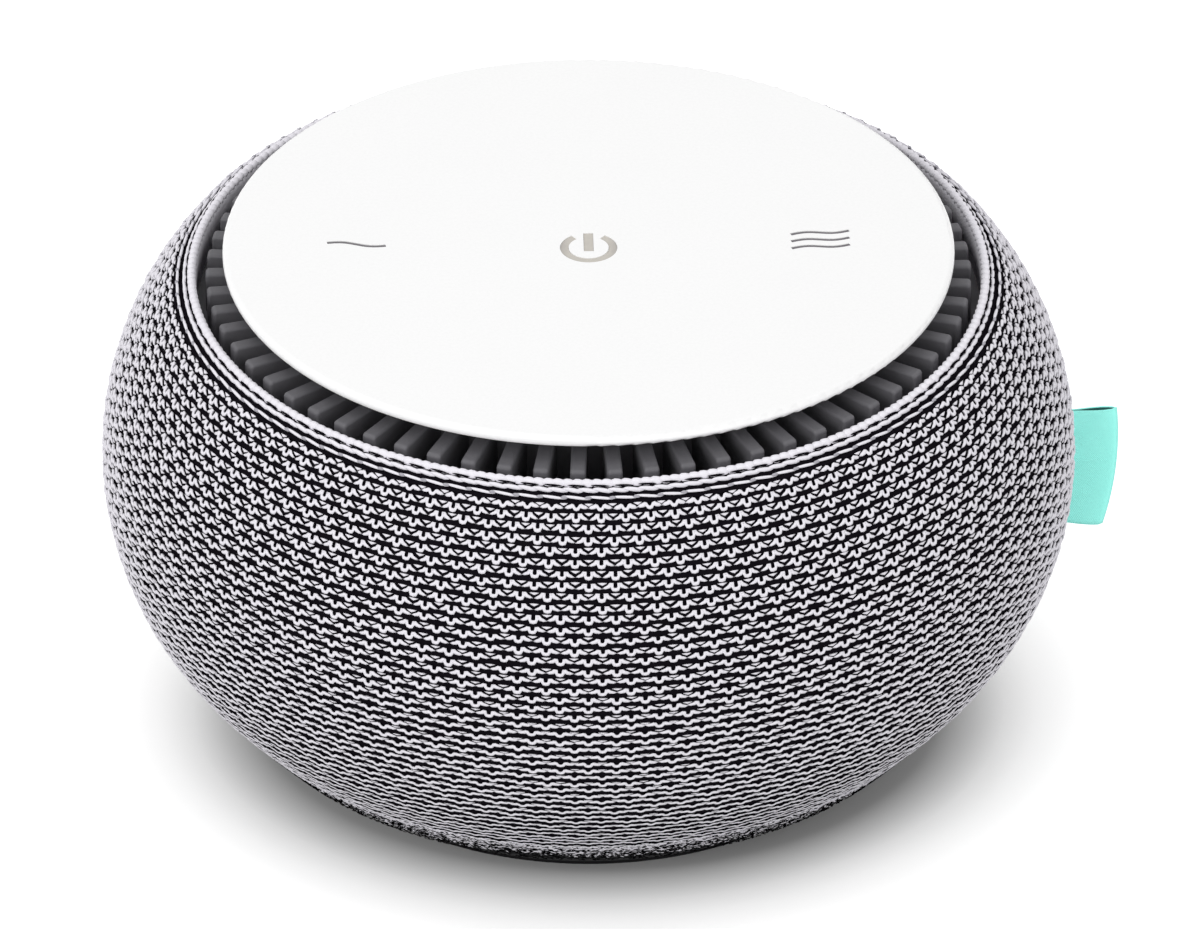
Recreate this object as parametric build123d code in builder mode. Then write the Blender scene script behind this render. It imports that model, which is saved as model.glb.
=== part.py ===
from build123d import *
import os
from math import cos, degrees, pi, radians, sin, sqrt, tan

os.makedirs("parts", exist_ok=True)

# ---- Driving dimensions (mm, degrees) ----

# Body outline in half section: one big arc, a straight lower slope and a flat underside
waist_radius = 71.1
waist_height = 45.3
bulge_radius = 44.0
slope_angle = 42.0
fabric_bottom = 6.0
fabric_bend = 5.0
tuck_radius = 48.7
mouth_height = 74.0
total_height = 80.0

# Soft cover
sleeve_thickness = 1.7
sleeve_gap = 0.15
hem_inner_radius = 56.8
hem_bead_height = 2.3
hem_bead_width = 2.2
hem_bead_round = 0.88
tag_length = 20.0
tag_width = 6.4
tag_thickness = 0.9
tag_height = 41.4

# Outer shell
shell_wall = 2.0
shell_top = 72.0
shell_ring_inner_radius = 42.5
shell_turn = 11.0
stop_lug_length = 1.6
stop_lug_width = 5.0
ledge_height = 66.0
ledge_thickness = 2.0
ledge_inner_radius = 56.0
shell_slot_count = 24
shell_slot_width = 5.0
shell_slot_length = 10.0
shell_slot_pitch = 13.0

# Tone collar: a ported sleeve that turns with the shell round the fan housing
collar_wall = 1.5
collar_gap = 0.3
collar_foot_height = 16.0
collar_shelf = 2.0
collar_shelf_inner_radius = 50.0
collar_tab_count = 4
collar_tab_width = 8.0
collar_tab_length = 2.4
collar_top_margin = 2.0

# Foot ring and base plate
foot_radius = 42.7
foot_width = 6.0
foot_thickness = 3.0
foot_groove_depth = 1.6
foot_edge_round = 0.8
base_floor = 3.0
base_lip = 0.8
base_radius = 48.2
base_wall = 3.0
base_slope_rise = 3.6
base_screw_count = 5
base_screw_sink = 1.6
base_boss_radius = 3.0
glide_ring_thickness = 3.0
glide_overhang = 3.0
glide_gap = 0.2

# Posts that carry the fan housing
post_circle = 35.0
post_radius = 3.6
housing_height = 28.0

# Power jack, its recess and the cord channel
jack_offset = 26.0
recess_radius = 11.0
recess_height = 13.2
recess_wall = 1.6
channel_width = 7.0
channel_height = 6.2
channel_wall = 1.2
jack_nose_radius = 4.5
jack_bore_radius = 2.9
jack_bore_depth = 9.0
jack_width = 11.0
jack_height = 9.0
jack_pin_radius = 1.0
jack_tail_radius = 0.8
jack_pin_setback = 0.8
jack_pin_round = 0.5
jack_board_width = 24.0
jack_board_depth = 18.0
jack_board_shift = 1.0
jack_post_spacing = 18.0
jack_post_radius = 2.4

# Fan housing and its inlet ring
housing_radius = 52.0
housing_wall = 2.0
housing_floor = 2.0
housing_depth = 30.0
port_count = 8
port_width = 16.0
port_length = 20.0
inlet_radius = 26.0
inlet_thickness = 2.0
inlet_lip_height = 1.6
inlet_lip_width = 3.2
inlet_lip_round = 1.4
column_radius = 2.6
column_sink = 0.4

# Motor, from the housing floor upwards
isolator_height = 3.0
isolator_radius = 4.0
isolator_circle = 22.0
isolator_count = 3
isolator_round = 0.5
mount_flange = 1.6
mount_hub_radius = 10.5
mount_arm_width = 8.0
bearing_tube_radius = 6.5
bearing_radius = 5.0
bearing_width = 4.0
bearing_race = 1.0
bearing_ball_radius = 0.72
bearing_ball_count = 7
bearing_lip = 0.8
tube_length = 14.0
tube_shoulder = 0.7
board_ledge_radius = 8.6
board_ledge_height = 1.2
motor_board_thickness = 1.2
motor_board_radius = 12.5
stator_lift = 5.0
stator_height = 8.0
stator_radius = 13.0
yoke_radius = 8.8
tooth_count = 9
tooth_width = 2.4
tooth_tip_width = 6.6
tooth_tip_depth = 1.2
winding_thickness = 1.0
winding_gap = 0.1
air_gap = 0.6
magnet_thickness = 1.7
magnet_height = 9.0
can_wall = 1.0
can_top = 1.2
can_clearance = 1.2
can_skirt = 1.0
can_round = 0.8
can_boss_wall = 0.5
shaft_radius = 1.5
shaft_end = 0.8
shaft_chamfer = 0.3
clip_radius = 3.0
clip_thickness = 0.5
clip_groove = 0.3
clip_mouth = 1.7

# Fan wheel
wheel_radius = 41.0
wheel_plate = 1.6
wheel_skirt = 0.4
wheel_hub_wall = 1.5
wheel_top_plate = 1.7
wheel_round = 1.2
blade_count = 9
blade_height = 16.0
blade_thickness = 1.6
blade_root_radius = 21.0
blade_sweep = 28.0
blade_stagger = 6.0

# Vent grille
fin_count = 66
fin_width = 2.2
fin_drop = 2.4
fin_end_radius = 55.5
fin_corner_round = 0.6
fin_edge_round = 0.45
grille_ring_height = 3.6
plinth_radius = 45.5
plinth_wall = 2.5
grille_floor = 2.0
grille_floor_drop = 2.4
guide_skirt_wall = 1.5
guide_skirt_length = 4.0

# Top cap, icons and touch board
cap_radius = 53.0
cap_thickness = 1.6
cap_top_round = 0.75
cap_bottom_round = 0.6
icon_depth = 0.8
icon_sink = 0.12
ring_centre_y = -1.2
ring_radius = 3.53
ring_width = 1.25
ring_gap_angle = 70.0
stem_width = 1.42
stem_length = 5.1
stem_centre_y = 0.3
wave_centre_x = 33.6
wave_centre_y = 0.4
wave_length = 8.55
wave_amplitude = 0.36
wave_width = 0.7
wave_pitch = 1.93
wave_tilt = 6.4
cap_post_circle = 30.0
cap_post_radius = 2.6
cap_pad_height = 1.0
touch_board_radius = 41.5
touch_board_thickness = 1.2
board_screw_circle = 37.0
board_screw_angle = 20.0
cap_screw_bite = 4.0
board_screw_bite = 0.6
led_size = 3.0
led_height = 0.7
inlay_clearance = 0.03

# Main board
main_board_width = 40.0
main_board_depth = 30.0
main_board_centre_y = -18.5
main_board_lift = 5.0
board_thickness = 1.6
board_corner = 1.2
standoff_radius = 2.5
standoff_margin = 3.0
connector_height = 5.0
chip_size = 8.0
chip_y = -20.5
chip_height = 1.2
chip_chamfer = 0.2
capacitor_radius = 3.6
capacitor_height = 10.0
capacitor_round = 0.6
capacitor_x = 12.0
ribbon_y = -30.0
ribbon_width = 8.0
ribbon_thickness = 0.6
ribbon_bend = 3.0
ribbon_socket_height = 2.0
ribbon_socket_depth = 4.0
socket_depth = 4.6
socket_margin = 2.0
socket_chamfer = 0.3
ribbon_slot_clearance = 1.2
ribbon_rise = 0.5
ribbon_wall_gap = 2.5
ribbon_drop = 4.0
motor_lead_y = -12.2
power_lead_x = 8.0
power_lead_y = -7.9
wire_radius = 0.65
wire_pitch = 1.9
power_lead_bend = 1.75
power_lead_gap = 2.0
power_lead_drop = 6.0

# Screws and general clearances
screw_radius = 1.2
screw_head_radius = 2.2
screw_head_height = 1.5
screw_head_round = 0.5
screw_slot_depth = 0.75
screw_bite = 6.0
short_bite = 2.6
screw_slot = 0.6
hole_clearance = 0.2
turning_gap = 0.3
fit_clearance = 0.1
running_clearance = 0.02

# ---- Places worked out from the dimensions above ----

base_bottom = foot_thickness - foot_groove_depth
base_floor_top = base_bottom + base_floor
shell_inset = sleeve_thickness + sleeve_gap
shell_bottom = fabric_bottom + shell_inset
base_rim = shell_bottom - glide_gap
base_upstand_radius = shell_ring_inner_radius - turning_gap
base_upstand_top = shell_bottom + shell_wall + glide_gap
base_inner_radius = base_upstand_radius - base_wall
base_screw_circle = base_upstand_radius - base_boss_radius
base_screw_angles = [270 + 360 * i / base_screw_count for i in range(base_screw_count)]
lug_angle = 270 + 180 / base_screw_count
grille_bottom = ledge_height + glide_gap
bulge_centre = waist_radius - bulge_radius

housing_floor_top = housing_height + housing_floor
housing_top = housing_height + housing_depth
inlet_top = housing_top + inlet_thickness

flange_bottom = housing_floor_top + isolator_height
flange_top = flange_bottom + mount_flange
stator_bottom = flange_top + stator_lift
stator_top = stator_bottom + stator_height
tube_top = flange_top + tube_length
magnet_inner_radius = stator_radius + air_gap
magnet_outer_radius = magnet_inner_radius + magnet_thickness
can_inner_radius = magnet_outer_radius + fit_clearance
can_radius = can_inner_radius + can_wall
winding_height = winding_thickness + winding_gap
can_ceiling = stator_top + winding_height + can_clearance
can_bottom = stator_bottom - can_skirt
can_crown = can_ceiling + can_top
wheel_hub_radius = can_radius + fit_clearance + wheel_hub_wall
wheel_bottom = can_bottom - wheel_skirt
wheel_crown = can_crown + fit_clearance + wheel_top_plate
shaft_bottom = flange_bottom - shaft_end
lower_bearing = flange_bottom + bearing_lip
upper_bearing = tube_top - bearing_width

cap_bottom = total_height - cap_thickness
board_top = cap_bottom - cap_pad_height
board_bottom = board_top - touch_board_thickness
fin_top = cap_bottom - fin_drop
grille_floor_top = fin_top - grille_floor_drop
grille_floor_bottom = grille_floor_top - grille_floor
plinth_inner_radius = plinth_radius - plinth_wall

ribbon_out = ribbon_wall_gap - housing_radius + housing_wall
ribbon_slot = (
    ribbon_width + 2 * ribbon_slot_clearance,
    ribbon_thickness + 2 * ribbon_slot_clearance,
)

main_board_bottom = base_floor_top + main_board_lift
main_board_top = main_board_bottom + board_thickness
jack_seat = recess_height + recess_wall
jack_bore_end = recess_height + jack_bore_depth
jack_board_bottom = jack_seat + jack_height
jack_board_top = jack_board_bottom + board_thickness

on_base = (Align.CENTER, Align.CENTER, Align.MIN)
square = [45 + 90 * i for i in range(4)]
board_screw_angles = [side + sign * board_screw_angle for side in (0, 180) for sign in (-1, 1)]
written = []


def save(piece, label):
    piece.part.label = label
    export_step(piece.part, f"parts/{label}.step")
    written.append(label)


def polar(radius, angle, height=0.0):
    return (radius * cos(radians(angle)), radius * sin(radians(angle)), height)


def band(inner, outer, low, high, mode=Mode.ADD):
    # Rectangle between two radii and two heights, for a section sketch
    with Locations(((inner + outer) / 2, (low + high) / 2)):
        Rectangle(outer - inner, high - low, mode=mode)


def bulge_radius_at(inset, height):
    # Radius of the body's big arc at this height, shrunk inwards by inset
    return bulge_centre + sqrt((bulge_radius - inset) ** 2 - (height - waist_height) ** 2)


def body_half(inset, top):
    # Filled half section of the body, shrunk inwards by inset and cut level at top
    radius = bulge_radius - inset
    bottom = fabric_bottom + inset
    angle = radians(slope_angle)
    mouth = (bulge_radius_at(inset, top), top)
    waist = (bulge_centre + radius, waist_height)
    slope = (bulge_centre + radius * cos(angle), waist_height - radius * sin(angle))
    corner = (slope[0] - (slope[1] - bottom) * tan(angle), bottom)
    with BuildSketch() as half:
        with BuildLine():
            Polyline((0, bottom), (0, top), mouth)
            ThreePointArc(mouth, waist, slope)
            Polyline(slope, corner, (0, bottom))
        make_face()
        bend = half.vertices().sort_by_distance((*corner, 0))[0]
        fillet(bend, fabric_bend - inset)
    return half.sketch_local


def make_screw(bite):
    # Pan head screw: the head stands on z = 0 and the shank points down
    with BuildPart() as screw:
        Cylinder(screw_head_radius, screw_head_height, align=on_base)
        fillet(screw.edges().filter_by(GeomType.CIRCLE).sort_by(Axis.Z)[-1], screw_head_round)
        with Locations((0, 0, -bite)):
            Cylinder(screw_radius, bite, align=on_base)
        with BuildSketch(Plane.XY.offset(screw_head_height)):
            Rectangle(screw_head_radius, screw_slot)
            Rectangle(screw_slot, screw_head_radius)
        extrude(amount=-screw_slot_depth, mode=Mode.SUBTRACT)
    return screw.part


def around(radius, angles, height, flip=False):
    # One place for each angle, pointing up or turned over to point down
    turn = (180, 0, 0) if flip else (0, 0, 0)
    return [Location(polar(radius, a, height), turn) for a in angles]


# ---- Soft cover ----

sleeve_outside = body_half(0, mouth_height)
sleeve_inside = body_half(sleeve_thickness, mouth_height)
with BuildPart() as knit_sleeve:
    with BuildSketch(Plane.XZ):
        add(sleeve_outside)
        add(sleeve_inside, mode=Mode.SUBTRACT)
        band(0, tuck_radius, 0, shell_bottom, Mode.SUBTRACT)
    revolve(axis=Axis.Z)
save(knit_sleeve, "knit_sleeve")

# The hem is a bead with a skirt that stands on the shell's top edge
hem_top = mouth_height + hem_bead_height
hem_skirt_radius = bulge_radius_at(sleeve_thickness, mouth_height) - sleeve_gap
with BuildPart() as rim_hem:
    with BuildSketch(Plane.XZ) as hem_section:
        with BuildLine():
            Polyline(
                (hem_inner_radius, shell_top),
                (hem_inner_radius, hem_top),
                (hem_inner_radius + hem_bead_width, hem_top),
                (bulge_radius_at(0, mouth_height), mouth_height),
                (hem_skirt_radius, mouth_height),
                (hem_skirt_radius, shell_top),
                close=True,
            )
        make_face()
        crest = hem_section.vertices().sort_by(Axis.Y)[-2:]
        fillet(crest, hem_bead_round)
    revolve(axis=Axis.Z)
save(rim_hem, "rim_hem")

# The label is a folded ribbon that stands out radially and follows the body's bulge
with BuildPart() as side_label:
    with BuildSketch(Plane.XZ):
        with Locations((bulge_centre, waist_height)):
            Circle(bulge_radius + tag_width)
            Circle(bulge_radius + sleeve_gap, mode=Mode.SUBTRACT)
        tag_reach = waist_radius + tag_width
        with Locations((tag_reach / 2 + bulge_centre, tag_height)):
            Rectangle(tag_reach, tag_length, mode=Mode.INTERSECT)
    extrude(amount=tag_thickness / 2, both=True)
save(side_label, "side_label")

# ---- Outer shell ----

shell_outside = body_half(shell_inset, shell_top)
shell_inside = body_half(shell_inset + shell_wall, shell_top)
slot_planes = []
for row in (-1, 0, 1):
    for i in range(shell_slot_count):
        turn = (i + 0.5 * (row % 2)) * 360 / shell_slot_count
        slot_planes.append(
            Plane(
                origin=(0, 0, waist_height + row * shell_slot_pitch),
                x_dir=(0, 0, 1),
                z_dir=polar(1, turn),
            )
        )
shell_ceiling = ledge_height - ledge_thickness
collar_inner_radius = housing_radius + collar_gap
collar_outer_radius = collar_inner_radius + collar_wall
tab_radius = (collar_inner_radius + collar_outer_radius) / 2
with BuildPart() as outer_shell:
    with BuildSketch(Plane.XZ):
        add(shell_outside)
        add(shell_inside, mode=Mode.SUBTRACT)
        band(0, shell_ring_inner_radius, 0, shell_bottom + shell_wall, Mode.SUBTRACT)
        # Ledge under the grille, and the shelf that carries the tone collar
        ledge_outer = bulge_radius_at(shell_inset + shell_wall / 2, ledge_height)
        band(ledge_inner_radius, ledge_outer, shell_ceiling, ledge_height)
        band(
            collar_shelf_inner_radius,
            collar_outer_radius + collar_wall,
            collar_foot_height - collar_shelf,
            collar_foot_height,
        )
        add(shell_outside, mode=Mode.INTERSECT)
    revolve(axis=Axis.Z)
    with PolarLocations(tab_radius, collar_tab_count):
        with Locations((0, 0, collar_foot_height)):
            Box(
                collar_wall + 2 * hole_clearance,
                collar_tab_width + 2 * hole_clearance,
                2 * collar_tab_length,
                mode=Mode.SUBTRACT,
            )
    with BuildSketch(*slot_planes):
        SlotOverall(shell_slot_length, shell_slot_width)
    extrude(amount=waist_radius, mode=Mode.SUBTRACT)
    # Lug that stops the shell's turn against the notch in the base plate
    with Locations(Location(polar(shell_ring_inner_radius, lug_angle, shell_bottom), (0, 0, lug_angle))):
        Box(2 * stop_lug_length, stop_lug_width, shell_wall, align=on_base)
save(outer_shell, "outer_shell")

# ---- Foot ring and base plate ----

foot_inner_radius = foot_radius - foot_width
with BuildPart() as foot_ring:
    with BuildSketch(Plane.XZ) as foot_section:
        band(foot_inner_radius, foot_radius, 0, foot_thickness)
        fillet(foot_section.vertices().group_by(Axis.Y)[0], foot_edge_round)
    revolve(axis=Axis.Z)
    with Locations((0, waist_radius / 2, 0)):
        Box(channel_width, waist_radius, foot_thickness, align=on_base, mode=Mode.SUBTRACT)
save(foot_ring, "foot_ring")

base_screw_seat = foot_thickness + base_screw_sink
lug_tip_radius = shell_ring_inner_radius - stop_lug_length
notch_angle = shell_turn + degrees((stop_lug_width / 2 + turning_gap) / lug_tip_radius)
with BuildPart() as base_plate:
    with BuildSketch(Plane.XZ):
        with BuildLine():
            Polyline(
                (0, base_bottom),
                (foot_radius + base_lip, base_bottom),
                (base_radius, base_bottom + base_slope_rise),
                (base_radius, base_rim),
                (base_upstand_radius, base_rim),
                (base_upstand_radius, base_upstand_top),
                (base_inner_radius, base_upstand_top),
                (base_inner_radius, base_floor_top),
                (0, base_floor_top),
                close=True,
            )
        make_face()
    revolve(axis=Axis.Z)
    with Locations((0, jack_offset, base_bottom)):
        Cylinder(recess_radius + recess_wall, jack_seat - base_bottom, align=on_base)
    with Locations((0, (jack_offset + base_inner_radius) / 2, base_bottom)):
        Box(
            channel_width + 2 * channel_wall,
            base_inner_radius - jack_offset,
            channel_height + channel_wall - base_bottom,
            align=on_base,
        )
    with Locations((0, jack_offset, 0)):
        Cylinder(recess_radius, recess_height, align=on_base, mode=Mode.SUBTRACT)
        Cylinder(
            jack_nose_radius + fit_clearance,
            jack_seat,
            align=on_base,
            mode=Mode.SUBTRACT,
        )
    with Locations((0, (jack_offset + waist_radius) / 2, 0)):
        Box(
            channel_width,
            waist_radius - jack_offset,
            channel_height,
            align=on_base,
            mode=Mode.SUBTRACT,
        )
    # Groove for the foot ring
    with BuildSketch(Plane.XZ):
        band(
            foot_inner_radius - fit_clearance,
            foot_radius + fit_clearance,
            base_bottom,
            foot_thickness,
        )
    revolve(axis=Axis.Z, mode=Mode.SUBTRACT)
    # Posts for the fan housing, the main board and the jack board
    with Locations(*around(post_circle, square, base_floor_top)):
        Cylinder(post_radius, housing_height - base_floor_top, align=on_base)
    with Locations(*around(post_circle, square, housing_height - screw_bite - hole_clearance)):
        Cylinder(
            screw_radius + running_clearance,
            screw_bite + hole_clearance,
            align=on_base,
            mode=Mode.SUBTRACT,
        )
    with Locations((0, main_board_centre_y, base_floor_top)):
        with GridLocations(
            main_board_width - 2 * standoff_margin, main_board_depth - 2 * standoff_margin, 2, 2
        ):
            Cylinder(standoff_radius, main_board_lift, align=on_base)
            Cylinder(
                screw_radius + running_clearance,
                main_board_lift,
                align=on_base,
                mode=Mode.SUBTRACT,
            )
    with Locations((0, jack_offset, jack_seat)):
        with GridLocations(jack_post_spacing, 1, 2, 1):
            Cylinder(jack_post_radius, jack_height, align=on_base)
            with Locations((0, 0, jack_height - screw_bite - hole_clearance)):
                Cylinder(
                    screw_radius + running_clearance,
                    screw_bite + hole_clearance,
                    align=on_base,
                    mode=Mode.SUBTRACT,
                )
    # Bosses and sunk seats for the screws that hold the glide ring
    with Locations(*around(base_screw_circle, base_screw_angles, base_floor_top)):
        Cylinder(base_boss_radius, base_upstand_top - base_floor_top, align=on_base)
    with Locations(*around(base_screw_circle, base_screw_angles, 0)):
        Cylinder(
            screw_head_radius + hole_clearance,
            base_screw_seat,
            align=on_base,
            mode=Mode.SUBTRACT,
        )
        Cylinder(
            screw_radius + hole_clearance,
            base_upstand_top,
            align=on_base,
            mode=Mode.SUBTRACT,
        )
    # Notch that the shell's stop lug runs in
    with BuildSketch(Plane.XY.offset(base_rim)):
        with BuildLine():
            Polyline(
                (0, 0),
                polar(base_radius, lug_angle - notch_angle)[:2],
                polar(base_radius, lug_angle + notch_angle)[:2],
                close=True,
            )
        make_face()
        Circle(lug_tip_radius - turning_gap, mode=Mode.SUBTRACT)
    extrude(amount=base_upstand_top - base_rim, mode=Mode.SUBTRACT)
save(base_plate, "base_plate")

base_screw_length = base_upstand_top - base_screw_seat + short_bite
base_screw = make_screw(base_screw_length - hole_clearance)
with BuildPart() as base_screws:
    with Locations(*around(base_screw_circle, base_screw_angles, base_screw_seat, flip=True)):
        add(base_screw)
save(base_screws, "base_screws")

# The glide ring overhangs the shell's bottom ring and keeps the shell on the base
with BuildPart() as glide_ring:
    with BuildSketch(Plane.XZ):
        band(
            base_inner_radius,
            shell_ring_inner_radius + glide_overhang,
            base_upstand_top,
            base_upstand_top + glide_ring_thickness,
        )
    revolve(axis=Axis.Z)
    with Locations(*around(base_screw_circle, base_screw_angles, base_upstand_top)):
        Cylinder(base_boss_radius, glide_ring_thickness, align=on_base)
        Cylinder(
            screw_radius + running_clearance,
            short_bite,
            align=on_base,
            mode=Mode.SUBTRACT,
        )
save(glide_ring, "glide_ring")

# ---- Power jack ----

with BuildPart() as power_jack:
    with Locations((0, jack_offset, recess_height)):
        Cylinder(jack_nose_radius, recess_wall, align=on_base)
    with Locations((0, jack_offset, jack_seat)):
        Box(jack_width, jack_width, jack_height, align=on_base)
    with Locations((0, jack_offset, recess_height)):
        Cylinder(jack_bore_radius, jack_bore_depth, align=on_base, mode=Mode.SUBTRACT)
        Cylinder(
            jack_tail_radius + running_clearance,
            recess_wall + jack_height,
            align=on_base,
            mode=Mode.SUBTRACT,
        )
save(power_jack, "power_jack")

jack_pin_tip = recess_height + jack_pin_setback
with BuildPart() as jack_pin:
    with Locations((0, jack_offset, jack_pin_tip)):
        Cylinder(jack_pin_radius, jack_bore_end - jack_pin_tip, align=on_base)
        Cylinder(jack_tail_radius, jack_board_top - jack_pin_tip, align=on_base)
    fillet(jack_pin.edges().filter_by(GeomType.CIRCLE).sort_by(Axis.Z)[0], jack_pin_round)
save(jack_pin, "jack_pin")

with BuildPart() as jack_board:
    with BuildSketch(Plane.XY.offset(jack_board_bottom)):
        with Locations((0, jack_offset - jack_board_shift)):
            RectangleRounded(jack_board_width, jack_board_depth, board_corner)
        with Locations((0, jack_offset)):
            Circle(jack_tail_radius + running_clearance, mode=Mode.SUBTRACT)
            with GridLocations(jack_post_spacing, 1, 2, 1):
                Circle(screw_radius + hole_clearance, mode=Mode.SUBTRACT)
    extrude(amount=board_thickness)
save(jack_board, "jack_board")

jack_screw = make_screw(board_thickness + screw_bite)
with BuildPart() as jack_board_screws:
    with Locations((0, jack_offset, jack_board_top)):
        with GridLocations(jack_post_spacing, 1, 2, 1):
            add(jack_screw)
save(jack_board_screws, "jack_board_screws")

# ---- Main board ----

ribbon_socket = (ribbon_width + 2 * socket_margin, ribbon_socket_depth)
motor_socket = (3 * wire_pitch + socket_margin, socket_depth)
power_socket = (2 * wire_pitch + socket_margin, socket_depth)
with BuildPart() as main_board:
    with BuildSketch(Plane.XY.offset(main_board_bottom)):
        with Locations((0, main_board_centre_y)):
            RectangleRounded(main_board_width, main_board_depth, board_corner)
            with GridLocations(
                main_board_width - 2 * standoff_margin,
                main_board_depth - 2 * standoff_margin,
                2,
                2,
            ):
                Circle(screw_radius + hole_clearance, mode=Mode.SUBTRACT)
    extrude(amount=board_thickness)
save(main_board, "main_board")

board_screw = make_screw(board_thickness + main_board_lift - hole_clearance)
with BuildPart() as main_board_screws:
    with Locations((0, main_board_centre_y, main_board_top)):
        with GridLocations(
            main_board_width - 2 * standoff_margin, main_board_depth - 2 * standoff_margin, 2, 2
        ):
            add(board_screw)
save(main_board_screws, "main_board_screws")

with BuildPart() as controller_chip:
    with Locations((0, chip_y, main_board_top)):
        Box(chip_size, chip_size, chip_height, align=on_base)
    chamfer(controller_chip.edges().group_by(Axis.Z)[-1], chip_chamfer)
save(controller_chip, "controller_chip")

with BuildPart() as capacitors:
    with Locations((0, main_board_centre_y, main_board_top)):
        with GridLocations(2 * capacitor_x, 1, 2, 1):
            Cylinder(capacitor_radius, capacitor_height, align=on_base)
    rims = capacitors.edges().filter_by(GeomType.CIRCLE).group_by(Axis.Z)[-1]
    fillet(rims, capacitor_round)
save(capacitors, "capacitors")

with BuildPart() as board_sockets:
    with Locations((0, ribbon_y, main_board_top)):
        Box(*ribbon_socket, connector_height, align=on_base)
    with Locations((0, motor_lead_y, main_board_top)):
        Box(*motor_socket, connector_height, align=on_base)
    with Locations((power_lead_x + wire_pitch / 2, power_lead_y, main_board_top)):
        Box(*power_socket, connector_height, align=on_base)
    chamfer(board_sockets.edges().group_by(Axis.Z)[-1], socket_chamfer)
save(board_sockets, "board_sockets")

# ---- Fan housing ----

housing_inner_radius = housing_radius - housing_wall
column_circle = housing_inner_radius - column_radius + column_sink
isolator_angles = [90 + 360 * i / isolator_count for i in range(isolator_count)]
port_centre = (housing_floor_top + housing_top) / 2
port_planes = [
    Plane(
        origin=(0, 0, port_centre),
        x_dir=(0, 0, 1),
        z_dir=polar(1, (i + 0.5) * 360 / port_count),
    )
    for i in range(port_count)
]
lead_slot_width = 4 * wire_pitch
with BuildPart() as fan_housing:
    with BuildSketch(Plane.XZ):
        band(0, housing_radius, housing_height, housing_top)
        band(0, housing_inner_radius, housing_floor_top, housing_top, Mode.SUBTRACT)
    revolve(axis=Axis.Z)
    with BuildSketch(*port_planes):
        SlotOverall(port_length, port_width)
    extrude(amount=waist_radius, mode=Mode.SUBTRACT)
    with Locations(*around(column_circle, square, housing_floor_top)):
        Cylinder(column_radius, housing_top - housing_floor_top, align=on_base)
    with Locations(*around(column_circle, square, housing_height)):
        Cylinder(
            screw_radius + hole_clearance, housing_depth, align=on_base, mode=Mode.SUBTRACT
        )
    with Locations(*around(post_circle, square, housing_height)):
        Cylinder(
            screw_radius + hole_clearance, housing_floor, align=on_base, mode=Mode.SUBTRACT
        )
    # Holes in the floor take the motor screws
    with Locations(*around(isolator_circle, isolator_angles, housing_height)):
        Cylinder(
            screw_radius + running_clearance, housing_floor, align=on_base, mode=Mode.SUBTRACT
        )
    with Locations((0, motor_lead_y, housing_height)):
        Box(lead_slot_width, 2 * wire_pitch, housing_floor, align=on_base, mode=Mode.SUBTRACT)
    with Locations((0, ribbon_out, housing_height)):
        Box(*ribbon_slot, housing_floor, align=on_base, mode=Mode.SUBTRACT)
save(fan_housing, "fan_housing")

housing_screw = make_screw(housing_floor + screw_bite)
with BuildPart() as housing_screws:
    with Locations(*around(post_circle, square, housing_floor_top)):
        add(housing_screw)
save(housing_screws, "housing_screws")

with BuildPart() as inlet_ring:
    with BuildSketch(Plane.XZ) as inlet_section:
        band(inlet_radius, housing_radius, housing_top, inlet_top)
        band(inlet_radius, inlet_radius + inlet_lip_width, inlet_top, inlet_top + inlet_lip_height)
        lip = inlet_section.vertices().group_by(Axis.Y)[-1]
        fillet(lip, inlet_lip_round)
    revolve(axis=Axis.Z)
    with Locations(*around(column_circle, square, housing_top)):
        Cylinder(
            screw_radius + hole_clearance, inlet_thickness, align=on_base, mode=Mode.SUBTRACT
        )
    with Locations((0, ribbon_out, housing_top)):
        Box(*ribbon_slot, inlet_thickness, align=on_base, mode=Mode.SUBTRACT)
save(inlet_ring, "inlet_ring")

# Long screws run up the housing's columns and hold the inlet ring and the vent grille
tie_screw_length = inlet_top - housing_height + screw_bite
tie_screw = make_screw(tie_screw_length - hole_clearance)
with BuildPart() as tie_screws:
    with Locations(*around(column_circle, square, housing_height, flip=True)):
        add(tie_screw)
save(tie_screws, "tie_screws")

# The collar's ports meet the housing's at one end of the shell's turn and shut them at the other
collar_top = housing_top - collar_top_margin
collar_port_planes = [
    Plane(
        origin=(0, 0, port_centre),
        x_dir=(0, 0, 1),
        z_dir=polar(1, (i + 0.5) * 360 / port_count + shell_turn),
    )
    for i in range(port_count)
]
with BuildPart() as tone_collar:
    with BuildSketch(Plane.XZ):
        band(collar_inner_radius, collar_outer_radius, collar_foot_height, collar_top)
    revolve(axis=Axis.Z)
    with PolarLocations(tab_radius, collar_tab_count):
        with Locations((0, 0, collar_foot_height)):
            Box(collar_wall, collar_tab_width, 2 * collar_tab_length)
    with BuildSketch(Plane.XZ):
        band(collar_inner_radius, collar_outer_radius, 0, collar_top)
    revolve(axis=Axis.Z, mode=Mode.INTERSECT)
    with BuildSketch(*collar_port_planes):
        SlotOverall(port_length, port_width)
    extrude(amount=waist_radius, mode=Mode.SUBTRACT)
save(tone_collar, "tone_collar")

# ---- Motor mount, isolators and bearings ----

with BuildPart() as motor_isolators:
    for place in around(isolator_circle, isolator_angles, housing_floor_top):
        with Locations(place):
            Cylinder(isolator_radius, isolator_height, align=on_base)
            Cylinder(
                screw_radius + fit_clearance,
                isolator_height,
                align=on_base,
                mode=Mode.SUBTRACT,
            )
    rims = motor_isolators.edges().filter_by(GeomType.CIRCLE).group_by(SortBy.RADIUS)[-1]
    fillet(rims, isolator_round)
save(motor_isolators, "motor_isolators")

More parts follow.
